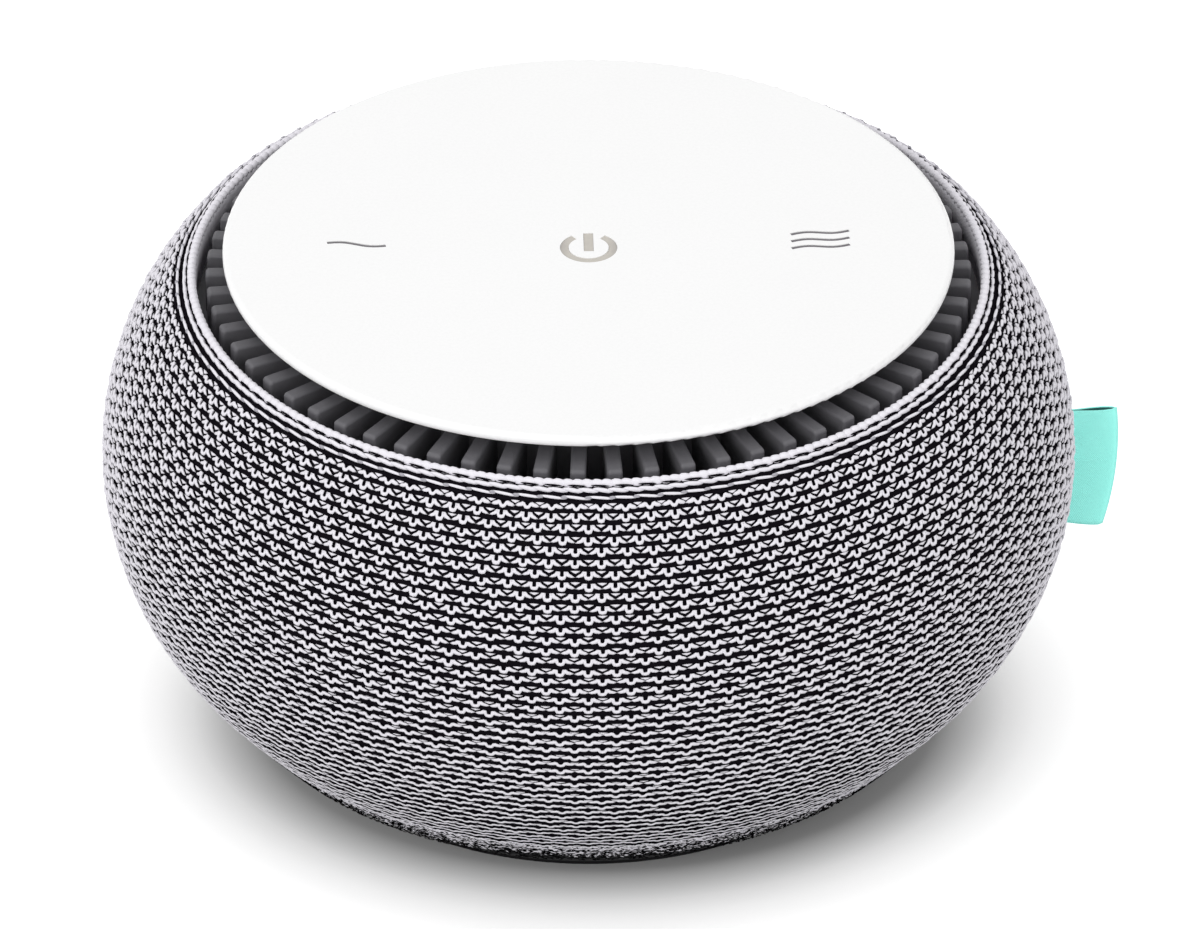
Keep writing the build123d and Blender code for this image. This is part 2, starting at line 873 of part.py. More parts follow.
shoulder_radius = bearing_tube_radius + tube_shoulder
with BuildPart() as motor_mount:
    with BuildSketch(Plane.XY.offset(flange_bottom)):
        Circle(mount_hub_radius)
        for angle in isolator_angles:
            with Locations(Location(polar(isolator_circle / 2, angle), (0, 0, angle))):
                Rectangle(isolator_circle, mount_arm_width)
            with Locations(polar(isolator_circle, angle)):
                Circle(isolator_radius)
                Circle(screw_radius + hole_clearance, mode=Mode.SUBTRACT)
    extrude(amount=mount_flange)
    with Locations((0, 0, flange_top)):
        Cylinder(board_ledge_radius, board_ledge_height, align=on_base)
        Cylinder(shoulder_radius, stator_lift, align=on_base)
        Cylinder(bearing_tube_radius, tube_length, align=on_base)
    with BuildSketch(Plane.XZ):
        pocket = bearing_radius + running_clearance
        throat = bearing_radius - bearing_race
        band(0, throat, flange_bottom, tube_top)
        band(0, pocket, lower_bearing, lower_bearing + bearing_width)
        band(0, pocket, upper_bearing, tube_top)
    revolve(axis=Axis.Z, mode=Mode.SUBTRACT)
save(motor_mount, "motor_mount")

motor_screw = make_screw(mount_flange + isolator_height + housing_floor)
with BuildPart() as motor_screws:
    with Locations(*around(isolator_circle, isolator_angles, flange_top)):
        add(motor_screw)
save(motor_screws, "motor_screws")

race_bore = shaft_radius + running_clearance / 2
inner_race_radius = race_bore + bearing_race
with BuildPart() as bearing_outer_races:
    with BuildSketch(Plane.XZ):
        for low in (lower_bearing, upper_bearing):
            band(bearing_radius - bearing_race, bearing_radius, low, low + bearing_width)
    revolve(axis=Axis.Z)
save(bearing_outer_races, "bearing_outer_races")

with BuildPart() as bearing_inner_races:
    with BuildSketch(Plane.XZ):
        for low in (lower_bearing, upper_bearing):
            band(race_bore, inner_race_radius, low, low + bearing_width)
    revolve(axis=Axis.Z)
save(bearing_inner_races, "bearing_inner_races")

ball_circle = (inner_race_radius + bearing_radius - bearing_race) / 2
with BuildPart() as bearing_balls:
    for low in (lower_bearing, upper_bearing):
        with Locations((0, 0, low + bearing_width / 2)):
            with PolarLocations(ball_circle, bearing_ball_count):
                Sphere(bearing_ball_radius)
save(bearing_balls, "bearing_balls")

# ---- Stator ----

tooth_start = (bearing_tube_radius + yoke_radius) / 2
with BuildPart() as stator_core:
    with BuildSketch(Plane.XY.offset(stator_bottom)):
        with PolarLocations(0, tooth_count):
            with Locations(((tooth_start + stator_radius) / 2, 0)):
                Rectangle(stator_radius - tooth_start, tooth_width)
            with Locations((stator_radius - tooth_tip_depth / 2, 0)):
                Rectangle(tooth_tip_depth, tooth_tip_width)
        Circle(yoke_radius)
        Circle(stator_radius, mode=Mode.INTERSECT)
        Circle(bearing_tube_radius + running_clearance, mode=Mode.SUBTRACT)
    extrude(amount=stator_height)
save(stator_core, "stator_core")

winding_inner = yoke_radius + winding_gap
winding_outer = stator_radius - tooth_tip_depth - winding_gap
winding_centre = ((winding_inner + winding_outer) / 2, 0, (stator_bottom + stator_top) / 2)
with BuildPart() as winding:
    with Locations(winding_centre):
        Box(
            winding_outer - winding_inner,
            tooth_width + 2 * winding_height,
            stator_height + 2 * winding_height,
        )
        corners = winding.edges().filter_by(Axis.X)
        fillet(corners, winding_thickness)
        Box(
            winding_outer - winding_inner,
            tooth_width + 2 * winding_gap,
            stator_height + 2 * winding_gap,
            mode=Mode.SUBTRACT,
        )
with BuildPart() as stator_windings:
    with PolarLocations(0, tooth_count):
        add(winding.part)
save(stator_windings, "stator_windings")

with BuildPart() as motor_board:
    with BuildSketch(Plane.XY.offset(flange_top + board_ledge_height)):
        Circle(motor_board_radius)
        Circle(shoulder_radius + fit_clearance, mode=Mode.SUBTRACT)
        # Tab for the leads
        with Locations((0, motor_lead_y)):
            Rectangle(lead_slot_width, 2 * wire_pitch)
    extrude(amount=motor_board_thickness)
save(motor_board, "motor_board")

# ---- Rotor ----

with BuildPart() as magnet_ring:
    with BuildSketch(Plane.XZ):
        band(
            magnet_inner_radius,
            magnet_outer_radius,
            stator_bottom - fit_clearance,
            stator_bottom - fit_clearance + magnet_height,
        )
    revolve(axis=Axis.Z)
save(magnet_ring, "magnet_ring")

boss_radius = inner_race_radius + can_boss_wall
with BuildPart() as rotor_can:
    with BuildSketch(Plane.XZ) as can_section:
        band(can_inner_radius, can_radius, can_bottom, can_crown)
        band(0, can_radius, can_ceiling, can_crown)
        band(0, boss_radius, tube_top + fit_clearance, can_crown)
        band(0, race_bore, can_bottom, can_crown, Mode.SUBTRACT)
        outer_corner = can_section.vertices().sort_by_distance((can_radius, can_crown, 0))[0]
        fillet(outer_corner, can_round)
    revolve(axis=Axis.Z)
save(rotor_can, "rotor_can")

groove_radius = shaft_radius - clip_groove
clip_top = lower_bearing - fit_clearance
with BuildPart() as motor_shaft:
    with BuildSketch(Plane.XZ) as shaft_section:
        band(0, shaft_radius, shaft_bottom, wheel_crown)
        band(groove_radius, shaft_radius, clip_top - clip_thickness, clip_top, Mode.SUBTRACT)
        ends = shaft_section.vertices().filter_by_position(
            Axis.X, shaft_radius - 0.01, shaft_radius + 0.01
        )
        ends = ends.sort_by(Axis.Y)
        chamfer([ends[0], ends[-1]], shaft_chamfer)
    revolve(axis=Axis.Z)
save(motor_shaft, "motor_shaft")

with BuildPart() as shaft_clip:
    with BuildSketch(Plane.XY.offset(clip_top - clip_thickness)):
        Circle(clip_radius)
        Circle(groove_radius, mode=Mode.SUBTRACT)
        with Locations((clip_radius / 2 + groove_radius / 2, 0)):
            Rectangle(clip_radius, clip_mouth, mode=Mode.SUBTRACT)
    extrude(amount=clip_thickness)
save(shaft_clip, "shaft_clip")

# The blades are bunched unevenly, which spreads the fan's tone
wheel_bore = can_radius + fit_clearance
plate_top = wheel_bottom + wheel_plate
blade_angles = [
    360 * i / blade_count + blade_stagger * sin(2 * pi * 2 * i / blade_count)
    for i in range(blade_count)
]
with BuildPart() as fan_wheel:
    with BuildSketch(Plane.XZ) as wheel_section:
        band(wheel_bore, wheel_hub_radius, wheel_bottom, wheel_crown)
        band(0, wheel_hub_radius, can_crown + fit_clearance, wheel_crown)
        band(wheel_bore, wheel_radius, wheel_bottom, plate_top)
        band(0, race_bore, wheel_bottom, wheel_crown, Mode.SUBTRACT)
        shoulder = wheel_section.vertices().sort_by_distance((wheel_hub_radius, wheel_crown, 0))[0]
        fillet(shoulder, wheel_round)
    revolve(axis=Axis.Z)
    with BuildSketch(Plane.XY.offset(plate_top)) as blades:
        for angle in blade_angles:
            with BuildLine() as vane:
                root = polar(blade_root_radius, angle)
                tip = polar(wheel_radius - blade_thickness, angle - blade_sweep)
                middle = polar((blade_root_radius + wheel_radius) / 2, angle - blade_sweep * 0.3)
                ThreePointArc(root, middle, tip)
            trace(line_width=blade_thickness)
    extrude(amount=blade_height)
save(fan_wheel, "fan_wheel")

# ---- Vent grille ----

ring_top = grille_bottom + grille_ring_height
grille_ring_radius = bulge_radius_at(shell_inset + shell_wall, ring_top) - turning_gap
skirt_radius = ledge_inner_radius - turning_gap
with BuildPart() as fin:
    with BuildSketch(Plane.XZ) as fin_section:
        band(plinth_radius - fin_edge_round, fin_end_radius, grille_bottom, fin_top)
        fillet(
            fin_section.vertices().sort_by_distance((fin_end_radius, fin_top, 0))[0],
            fin_corner_round,
        )
    extrude(amount=fin_width / 2, both=True)
    front = fin.faces().sort_by(Axis.X)[-1]
    top = fin.faces().filter_by(Plane.XY).sort_by(Axis.Z)[-1]
    edges = top.edges().filter_by(Axis.X) + front.edges().filter_by(Axis.Z)
    edges += fin.edges().filter_by(GeomType.CIRCLE)
    fillet(edges, fin_edge_round)
with BuildPart() as vent_grille:
    with BuildSketch(Plane.XZ):
        band(skirt_radius - guide_skirt_wall, grille_ring_radius, grille_bottom, ring_top)
        band(
            skirt_radius - guide_skirt_wall,
            skirt_radius,
            ledge_height - guide_skirt_length,
            ring_top,
        )
        band(plinth_inner_radius, plinth_radius, grille_bottom, cap_bottom)
        band(0, plinth_radius, grille_floor_bottom, grille_floor_top)
    revolve(axis=Axis.Z)
    with PolarLocations(0, fin_count, start_angle=270 + 180 / fin_count):
        add(fin.part)
    # Feet that stand on the inlet ring and take the long screws
    with Locations(*around(column_circle, square, inlet_top)):
        Cylinder(column_radius, ring_top - inlet_top, align=on_base)
        Cylinder(
            screw_radius + running_clearance, screw_bite, align=on_base, mode=Mode.SUBTRACT
        )
    with Locations(*around(cap_post_circle, square, grille_floor_bottom)):
        Cylinder(
            screw_radius + hole_clearance, grille_floor, align=on_base, mode=Mode.SUBTRACT
        )
    # Slot for the ribbon cable
    with Locations((0, ribbon_y, grille_floor_bottom)):
        Box(*ribbon_slot, grille_floor, align=on_base, mode=Mode.SUBTRACT)
save(vent_grille, "vent_grille")

# ---- Top cap and icons ----


def wave(x, y, tilt):
    # One tilde-shaped stroke: a single sine period, tilted about its middle
    steps = 8
    points = []
    for i in range(steps + 1):
        along = wave_length * (i / steps - 0.5)
        across = wave_amplitude * sin(2 * pi * i / steps)
        c, s = cos(radians(tilt)), sin(radians(tilt))
        points.append((x + along * c - across * s, y + along * s + across * c))
    return points


def icon_strokes(shrink):
    # Power ring with its stem, a single wave and a triple wave, narrowed by shrink on each side
    with BuildSketch() as icons:
        with Locations((0, ring_centre_y)):
            Circle(ring_radius + ring_width / 2 - shrink)
            Circle(ring_radius - ring_width / 2 + shrink, mode=Mode.SUBTRACT)
        gap = radians(ring_gap_angle / 2)
        far = 2 * ring_radius
        with BuildLine():
            Polyline(
                (0, ring_centre_y),
                (-far * tan(gap) - shrink, ring_centre_y + far),
                (far * tan(gap) + shrink, ring_centre_y + far),
                close=True,
            )
        make_face(mode=Mode.SUBTRACT)
        with Locations((0, stem_centre_y)):
            Rectangle(stem_width - 2 * shrink, stem_length - 2 * shrink)
        strokes = [wave(-wave_centre_x, wave_centre_y, -wave_tilt)]
        for row in (-1, 0, 1):
            strokes.append(wave(wave_centre_x, wave_centre_y + row * wave_pitch, wave_tilt))
        for points in strokes:
            with BuildLine() as stroke:
                Spline(*points)
            trace(line_width=wave_width - 2 * shrink)
    return icons.sketch_local


icon_floor = total_height - icon_depth
icon_shape = icon_strokes(0)
inlay_shape = icon_strokes(inlay_clearance)
with BuildPart() as top_cap:
    with BuildSketch(Plane.XZ) as cap_section:
        band(0, cap_radius, cap_bottom, total_height)
        rim = cap_section.vertices().group_by(Axis.X)[-1].sort_by(Axis.Y)
        fillet(rim[-1], cap_top_round)
        rim = cap_section.vertices().group_by(Axis.Y)[0].sort_by(Axis.X)
        fillet(rim[-1], cap_bottom_round)
    revolve(axis=Axis.Z)
    with Locations(*around(cap_post_circle, square, grille_floor_top)):
        Cylinder(cap_post_radius, cap_bottom - grille_floor_top, align=on_base)
        Cylinder(
            screw_radius + running_clearance, cap_screw_bite, align=on_base, mode=Mode.SUBTRACT
        )
    with Locations(*around(board_screw_circle, board_screw_angles, board_top)):
        Cylinder(cap_post_radius, cap_pad_height, align=on_base)
        Cylinder(
            screw_radius + running_clearance,
            cap_pad_height + board_screw_bite,
            align=on_base,
            mode=Mode.SUBTRACT,
        )
    with BuildSketch(Plane.XY.offset(total_height)):
        add(icon_shape)
    extrude(amount=-icon_depth, mode=Mode.SUBTRACT)
save(top_cap, "top_cap")

with BuildPart() as icon_inlays:
    with BuildSketch(Plane.XY.offset(icon_floor)):
        add(inlay_shape)
    extrude(amount=icon_depth - icon_sink)
save(icon_inlays, "icon_inlays")

cap_screw = make_screw(grille_floor + cap_screw_bite - hole_clearance)
with BuildPart() as cap_screws:
    with Locations(*around(cap_post_circle, square, grille_floor_bottom, flip=True)):
        add(cap_screw)
save(cap_screws, "cap_screws")

# ---- Touch board ----

with BuildPart() as touch_board:
    with BuildSketch(Plane.XY.offset(board_bottom)):
        Circle(touch_board_radius)
        with Locations(*[polar(cap_post_circle, a) for a in square]):
            Circle(cap_post_radius + hole_clearance, mode=Mode.SUBTRACT)
        with Locations(*[polar(board_screw_circle, a) for a in board_screw_angles]):
            Circle(screw_radius + hole_clearance, mode=Mode.SUBTRACT)
    extrude(amount=touch_board_thickness)
save(touch_board, "touch_board")

touch_screw = make_screw(touch_board_thickness + cap_pad_height + board_screw_bite - fit_clearance)
with BuildPart() as touch_board_screws:
    with Locations(*around(board_screw_circle, board_screw_angles, board_bottom, flip=True)):
        add(touch_screw)
save(touch_board_screws, "touch_board_screws")

with BuildPart() as touch_chip:
    with Locations((0, chip_size, board_bottom - chip_height)):
        Box(chip_size, chip_size, chip_height, align=on_base)
    chamfer(touch_chip.edges().group_by(Axis.Z)[0], chip_chamfer)
save(touch_chip, "touch_chip")

with BuildPart() as ribbon_socket_top:
    with Locations((0, ribbon_y, board_bottom - ribbon_socket_height)):
        Box(*ribbon_socket, ribbon_socket_height, align=on_base)
save(ribbon_socket_top, "touch_socket")

with BuildPart() as indicator_leds:
    with Locations((0, ring_centre_y, board_top)):
        Box(led_size, led_size, led_height, align=on_base)
    with Locations((0, wave_centre_y, board_top)):
        with GridLocations(2 * wave_centre_x, 1, 2, 1):
            Box(led_size, led_size, led_height, align=on_base)
save(indicator_leds, "indicator_leds")

# ---- Cables ----

# The ribbon drops through the grille, passes over the inlet ring and runs down beside the housing
ribbon_start = board_bottom - ribbon_socket_height
ribbon_end = main_board_top + connector_height
ribbon_high = (inlet_top + ledge_height) / 2 + ribbon_rise
ribbon_low = housing_height - ribbon_drop
with BuildPart() as ribbon_cable:
    with BuildSketch(Plane.YZ):
        with BuildLine() as path:
            FilletPolyline(
                (ribbon_y, ribbon_start),
                (ribbon_y, ribbon_high),
                (ribbon_out, ribbon_high),
                (ribbon_out, ribbon_low),
                (ribbon_y, ribbon_low),
                (ribbon_y, ribbon_end),
                radius=ribbon_bend,
            )
        trace(line_width=ribbon_thickness)
    extrude(amount=ribbon_width / 2, both=True)
save(ribbon_cable, "ribbon_cable")

lead_top = flange_top + board_ledge_height
lead_bottom = main_board_top + connector_height
with BuildPart() as motor_lead:
    with Locations((0, motor_lead_y, lead_bottom)):
        with GridLocations(wire_pitch, 1, 3, 1):
            Cylinder(wire_radius, lead_top - lead_bottom, align=on_base)
save(motor_lead, "motor_lead")

power_lead_start = jack_offset - jack_width / 2 - power_lead_gap
power_lead_low = jack_board_bottom - power_lead_drop
with BuildPart() as power_lead:
    for side in (0, 1):
        x = power_lead_x + side * wire_pitch
        with BuildLine() as run:
            FilletPolyline(
                (x, power_lead_start, jack_board_bottom),
                (x, power_lead_start, power_lead_low),
                (x, power_lead_y, power_lead_low),
                (x, power_lead_y, main_board_top + connector_height),
                radius=power_lead_bend,
            )
        with BuildSketch(Plane(origin=run.line @ 0, z_dir=run.line % 0)):
            Circle(wire_radius)
        sweep(path=run.line)
save(power_lead, "power_lead")

print(len(written), "sub-parts written")
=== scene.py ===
# Round sound machine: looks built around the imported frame
import math
import random

import bmesh
import bpy
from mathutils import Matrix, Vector


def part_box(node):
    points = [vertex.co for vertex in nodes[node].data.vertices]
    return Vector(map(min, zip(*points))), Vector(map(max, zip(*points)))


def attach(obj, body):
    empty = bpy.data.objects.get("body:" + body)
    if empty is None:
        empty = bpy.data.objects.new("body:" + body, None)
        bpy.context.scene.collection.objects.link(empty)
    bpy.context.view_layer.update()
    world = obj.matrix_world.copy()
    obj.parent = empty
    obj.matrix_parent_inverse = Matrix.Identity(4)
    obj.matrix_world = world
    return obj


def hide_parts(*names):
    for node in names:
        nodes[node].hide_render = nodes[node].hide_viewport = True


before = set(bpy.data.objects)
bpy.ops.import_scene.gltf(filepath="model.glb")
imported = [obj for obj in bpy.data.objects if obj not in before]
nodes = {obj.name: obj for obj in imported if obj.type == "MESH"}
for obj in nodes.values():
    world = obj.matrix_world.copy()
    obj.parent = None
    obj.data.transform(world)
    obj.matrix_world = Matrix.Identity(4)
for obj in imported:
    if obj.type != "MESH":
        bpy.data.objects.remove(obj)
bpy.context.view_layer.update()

mm = 0.001
white = (1, 1, 1, 1)
black = (0, 0, 0, 1)


def addObject(name, data):
    made = bpy.data.objects.new(name, data)
    bpy.context.scene.collection.objects.link(made)
    return made


def linear(*levels):
    # Screen colour in 0 to 255 as the linear colour that shaders take
    return tuple(((v / 255 + 0.055) / 1.055) ** 2.4 if v > 10 else v / 255 / 12.92 for v in levels) + (1.0,)


def shade(colour, share):
    return tuple(min(1.0, c * share) for c in colour[:3]) + (1.0,)


# Sockets as Python values, for shaders and for Geometry Nodes
class Wire:
    def __init__(self, graph, socket):
        self.graph, self.socket = graph, socket

    def math(self, operation, *others):
        return self.graph.add("ShaderNodeMath", {"operation": operation}, self, *others)

    def __add__(self, other):
        return self.math("ADD", other)

    def __sub__(self, other):
        return self.math("SUBTRACT", other)

    def __mul__(self, other):
        return self.math("MULTIPLY", other)

    def __truediv__(self, other):
        return self.math("DIVIDE", other)

    def __rsub__(self, other):
        return self.graph.add("ShaderNodeMath", {"operation": "SUBTRACT"}, other, self)

    def __neg__(self):
        return self * -1.0

    __radd__ = __add__
    __rmul__ = __mul__


class Graph:
    def __init__(self, tree):
        self.tree = tree

    def add(self, kind, settings=None, *values, out=0, **named):
        # One node: settings first, then socket values or links, in order or by name
        made = self.tree.nodes.new(kind)
        for key, value in (settings or {}).items():
            if key == "stops":
                ramp = made.color_ramp.elements
                while len(ramp) < len(value):
                    ramp.new(0.5)
                for stop, (place, colour) in zip(ramp, value):
                    stop.position, stop.color = place, colour
            else:
                setattr(made, key, value)
        pairs = list(enumerate(values)) + [(key.replace("_", " "), value) for key, value in named.items()]
        for key, value in pairs:
            if value is None:
                continue
            if isinstance(value, Wire):
                self.tree.links.new(value.socket, made.inputs[key])
            else:
                made.inputs[key].default_value = value
        return Wire(self, made.outputs[out] if made.outputs else None)

    def mix(self, share, low, high):
        # The colour sockets come seventh and eighth, after the ones for numbers and vectors
        kind = {"data_type": "RGBA"}
        return self.add("ShaderNodeMix", kind, share, None, None, None, None, None, low, high, out=2)

    def vector(self, operation, *values, out=0):
        return self.add("ShaderNodeVectorMath", {"operation": operation}, *values, out=out)

    def split(self, wire):
        made = self.add("ShaderNodeSeparateXYZ", None, wire).socket.node
        return [Wire(self, made.outputs[i]) for i in range(3)]

    def noise(self, place, size, detail=2.0, roughness=0.5):
        # Noise whose blobs are about size millimetres wide
        kind = "ShaderNodeTexNoise"
        return self.add(kind, Vector=place, Scale=1 / (size * mm), Detail=detail, Roughness=roughness)

    def waves(self, wire, pitch, shape="SINE"):
        return (wire * (2 * math.pi / pitch)).math(shape)

    def instances(self, points, unit, **named):
        # Copies of a unit object on points, as real geometry
        source = self.add("GeometryNodeObjectInfo", None, unit, out=4)
        copies = self.add("GeometryNodeInstanceOnPoints", None, points, Instance=source, **named)
        return self.add("GeometryNodeRealizeInstances", None, copies)

    def ramp(self, wire, *stops):
        greys = [(place, (level, level, level, 1)) for place, level in stops]
        return self.add("ShaderNodeValToRGB", {"stops": greys}, wire)


def newMaterial(name):
    material = bpy.data.materials.new(name)
    material.use_nodes = True
    material.node_tree.nodes.clear()
    graph = Graph(material.node_tree)
    place = graph.add("ShaderNodeTexCoord", out=3)
    return material, graph, place


def close(graph, shader):
    graph.add("ShaderNodeOutputMaterial", None, shader)


def surface(graph, colour, roughness, height=None, depth=0.02, **fixed):
    # Principled shader with an optional bump whose depth is in millimetres
    normal = None
    if height is not None:
        normal = graph.add("ShaderNodeBump", None, Strength=1.0, Distance=depth * mm, Height=height)
    kind = "ShaderNodeBsdfPrincipled"
    close(graph, graph.add(kind, Base_Color=colour, Roughness=roughness, Normal=normal, **fixed))


def mouldedPlastic(name, colour, roughness, grain=0.35, depth=0.012, drift=0.06, **fixed):
    material, graph, place = newMaterial(name)
    cloud = graph.noise(place, 14.0, 3.0)
    pits = graph.noise(place, grain, 3.0, 0.65)
    scuff = graph.noise(place, 3.0, 6.0, 0.7)
    tone = graph.mix(cloud, shade(colour, 1 - drift), shade(colour, 1 + drift))
    tone = graph.mix(graph.ramp(pits, (0.35, 1), (0.6, 0)) * 0.12, tone, shade(colour, 0.8))
    surface(graph, tone, roughness - 0.06 + scuff * 0.12, pits, depth, **fixed)
    return material


def turnedMetal(name, colour, roughness, groove=0.12, depth=0.004):
    # Concentric tool marks about the vertical axis with a fine cloudy tarnish
    material, graph, place = newMaterial(name)
    x, y, z = graph.split(place)
    radius = (x * x + y * y).math("SQRT")
    rings = graph.waves(radius + z, groove * mm)
    cloud = graph.noise(place, 2.5, 5.0, 0.65)
    tone = graph.mix(cloud, shade(colour, 0.82), shade(colour, 1.1))
    surface(graph, tone, roughness + cloud * 0.14, rings * 0.5 + cloud, depth, Metallic=1.0)
    return material


def platedMetal(name, colour, roughness):
    material, graph, place = newMaterial(name)
    grain = graph.noise(place, 0.5, 5.0, 0.7)
    cloud = graph.noise(place, 3.0, 2.0)
    tone = graph.mix(cloud, shade(colour, 0.86), shade(colour, 1.08))
    surface(graph, tone, roughness + grain * 0.15, grain, 0.006, Metallic=1.0)
    return material


# Camera: target and distance in mm, turned and raised in degrees
view = {
    "target": (0, 0, 40), "distance": 1800, "elevation": 32.42, "azimuth": -1.16,
    "lens": 368.52, "sensor": 36.0, "shiftX": 0.00958, "shiftY": 0.00983, "clip": (0.05, 20.0),
}
azimuth, elevation = math.radians(view["azimuth"]), math.radians(view["elevation"])
back = Vector((
    math.sin(azimuth) * math.cos(elevation),
    -math.cos(azimuth) * math.cos(elevation),
    math.sin(elevation),
))
cameraData = bpy.data.cameras.new("camera")
cameraData.sensor_width, cameraData.lens = view["sensor"], view["lens"]
cameraData.shift_x, cameraData.shift_y = view["shiftX"], view["shiftY"]
cameraData.clip_start, cameraData.clip_end = view["clip"]
camera = addObject("camera", cameraData)
camera.rotation_mode = "QUATERNION"
camera.location = Vector(view["target"]) * mm + back * view["distance"] * mm
camera.rotation_quaternion = (-back).to_track_quat("-Z", "Y")
bpy.context.scene.camera = camera
bpy.context.scene.view_settings.view_transform = "Standard"

# The floor glows to the camera by radius in mm, on an ellipse widened along x and shifted to one side: the
# low glow near the foot is a painted contact shadow
studio = {
    "worldLight": 0.78, "floorTone": 0.60, "floorReach": 6.0, "widen": 1.16, "shiftX": 1.5,
    "aim": (0, 0, 0.04),
    "glow": [(43.5, 0.0), (48, 0.20), (52, 0.41), (56, 0.55), (60, 0.63), (72, 0.85), (90, 1.0)],
    "lamps": {
        "keyLamp": ((-1.05, -1.30, 0.85), 0.9, 9.0),
        "fillLamp": ((1.15, -1.3, 0.60), 1.2, 4.4),
        "topLamp": ((-0.5, 0.2, 1.8), 0.8, 2.2),
    },
}


def seenDirectly(graph):
    # 1 for rays that show the backdrop to the camera, in gloss or through glass
    path = graph.add("ShaderNodeLightPath").socket.node.outputs
    seen = Wire(graph, path["Is Camera Ray"])
    for name in ("Is Glossy Ray", "Is Transmission Ray"):
        seen = seen.math("MAXIMUM", Wire(graph, path[name]))
    return seen


world = bpy.data.worlds.new("studioWorld")
world.use_nodes = True
world.node_tree.nodes.clear()
graph = Graph(world.node_tree)
strength = seenDirectly(graph) * (1 - studio["worldLight"]) + studio["worldLight"]
glow = graph.add("ShaderNodeBackground", None, white, strength)
graph.add("ShaderNodeOutputWorld", None, glow)
bpy.context.scene.world = world

floorMesh = bpy.data.meshes.new("floor")
reach = studio["floorReach"]
corners = [(-reach, -reach, 0), (reach, -reach, 0), (reach, reach, 0), (-reach, reach, 0)]
floorMesh.from_pydata(corners, [], [(0, 1, 2, 3)])
floor = addObject("floor", floorMesh)
material, graph, place = newMaterial("studioFloor")
x, y, z = graph.split(place)
x = (x - studio["shiftX"] * mm) / studio["widen"]
away = (x * x + y * y).math("SQRT") * (1 / (100 * mm))
# Painted contact shadow: the camera-only glow is nil at the foot and rises outward
glow = graph.ramp(away, *[(radius / 100, level) for radius, level in studio["glow"]])
tone = (studio["floorTone"],) * 3 + (1,)
paint = graph.add("ShaderNodeBsdfDiffuse", None, tone)
lift = graph.add("ShaderNodeEmission", None, white, seenDirectly(graph) * glow)
close(graph, graph.add("ShaderNodeAddShader", None, paint, lift))
floorMesh.materials.append(material)

for lampName, (place, size, power) in studio["lamps"].items():
    lampData = bpy.data.lights.new(lampName, "AREA")
    lampData.shape, lampData.size, lampData.energy = "DISK", size, power
    lamp = addObject(lampName, lampData)
    lamp.location = place
    lamp.rotation_mode = "QUATERNION"
    lamp.rotation_quaternion = (Vector(studio["aim"]) - Vector(place)).to_track_quat("-Z", "Y")
print("stage ready")

# Finishes of the moulded, turned and plated parts
capWhite = mouldedPlastic("capWhite", linear(253, 253, 253), 0.34, 0.5, 0.003, 0.008)
grilleGrey = mouldedPlastic("grilleGrey", linear(98, 97, 101), 0.62, 0.3, 0.014, 0.08)
shellBlack = mouldedPlastic("shellBlack", linear(46, 46, 49), 0.6, 0.4, 0.02)
baseBlack = mouldedPlastic("baseBlack", linear(20, 20, 22), 0.7, 0.5, 0.035, Specular_IOR_Level=0.25)
footRubber = mouldedPlastic("footRubber", linear(18, 18, 20), 0.85, 0.8, 0.05, 0.12, Specular_IOR_Level=0.2)
housingGrey = mouldedPlastic("housingGrey", linear(150, 152, 156), 0.52, 0.4, 0.012)
wheelIvory = mouldedPlastic("wheelIvory", linear(232, 231, 226), 0.42, 0.4, 0.006, 0.03)
mountGrey = mouldedPlastic("mountGrey", linear(96, 97, 102), 0.55, 0.35, 0.012)
isolatorRubber = mouldedPlastic("isolatorRubber", linear(52, 52, 54), 0.85, 0.5, 0.03, 0.1)
jackBlack = mouldedPlastic("jackBlack", linear(38, 38, 38), 0.42, 0.3, 0.006)
magnetDark = mouldedPlastic("magnetDark", linear(70, 69, 72), 0.7, 0.25, 0.02, 0.1)
socketCream = mouldedPlastic("socketCream", linear(238, 231, 214), 0.48, 0.3, 0.006, 0.04)
ledLens = mouldedPlastic("ledLens", linear(246, 240, 214), 0.16, 0.25, 0.004, 0.03, Coat_Weight=0.4)
screwZinc = platedMetal("screwZinc", linear(196, 198, 204), 0.26)
pinNickel = platedMetal("pinNickel", linear(222, 218, 208), 0.14)
bearingSteel = turnedMetal("bearingSteel", linear(206, 208, 214), 0.14)
canSteel = turnedMetal("canSteel", linear(190, 192, 198), 0.28, 0.2, 0.006)


def iconInkAndShade():
    # Beige ink in the middle sign, with painted recess shade greying its sides, and the wave signs beyond it
    # grey, darkened further by painted recess shade
    material, graph, place = newMaterial("iconInkAndShade")
    x, y, z = graph.split(place)
    side = x.math("ABSOLUTE") * (1 / (40 * mm))
    cloud = graph.noise(place, 1.2, 4.0, 0.6)
    # Painted recess shade: the middle sign greyer towards its sides, full grey past them
    rim = graph.ramp(side, (0.07, 0.0), (0.115, 0.6), (0.4, 1.0))
    tone = graph.mix(rim, linear(208, 203, 194), linear(150, 146, 146))
    # Painted recess shade: the wave signs darker still
    tone = graph.mix(graph.ramp(side, (0.4, 0.0), (0.5, 1.0)), tone, linear(104, 100, 106))
    tone = graph.mix(cloud * 0.3, tone, shade(linear(150, 146, 146), 0.9))
    surface(graph, tone, 0.52 + cloud * 0.14, cloud, 0.01)
    return material


def laminatedSteel():
    # Thin sheets stacked along the axis
    material, graph, place = newMaterial("laminatedSteel")
    x, y, z = graph.split(place)
    sheets = graph.waves(z, 0.5 * mm)
    cloud = graph.noise(place, 1.5, 4.0, 0.6)
    edge = graph.ramp(sheets * 0.5 + 0.5, (0.0, 0.0), (0.25, 1.0))
    tone = graph.mix(edge, linear(78, 78, 82), linear(168, 168, 172))
    surface(graph, tone, 0.34 + cloud * 0.2, sheets * 0.6 + cloud * 0.4, 0.05, Metallic=1.0)
    return material


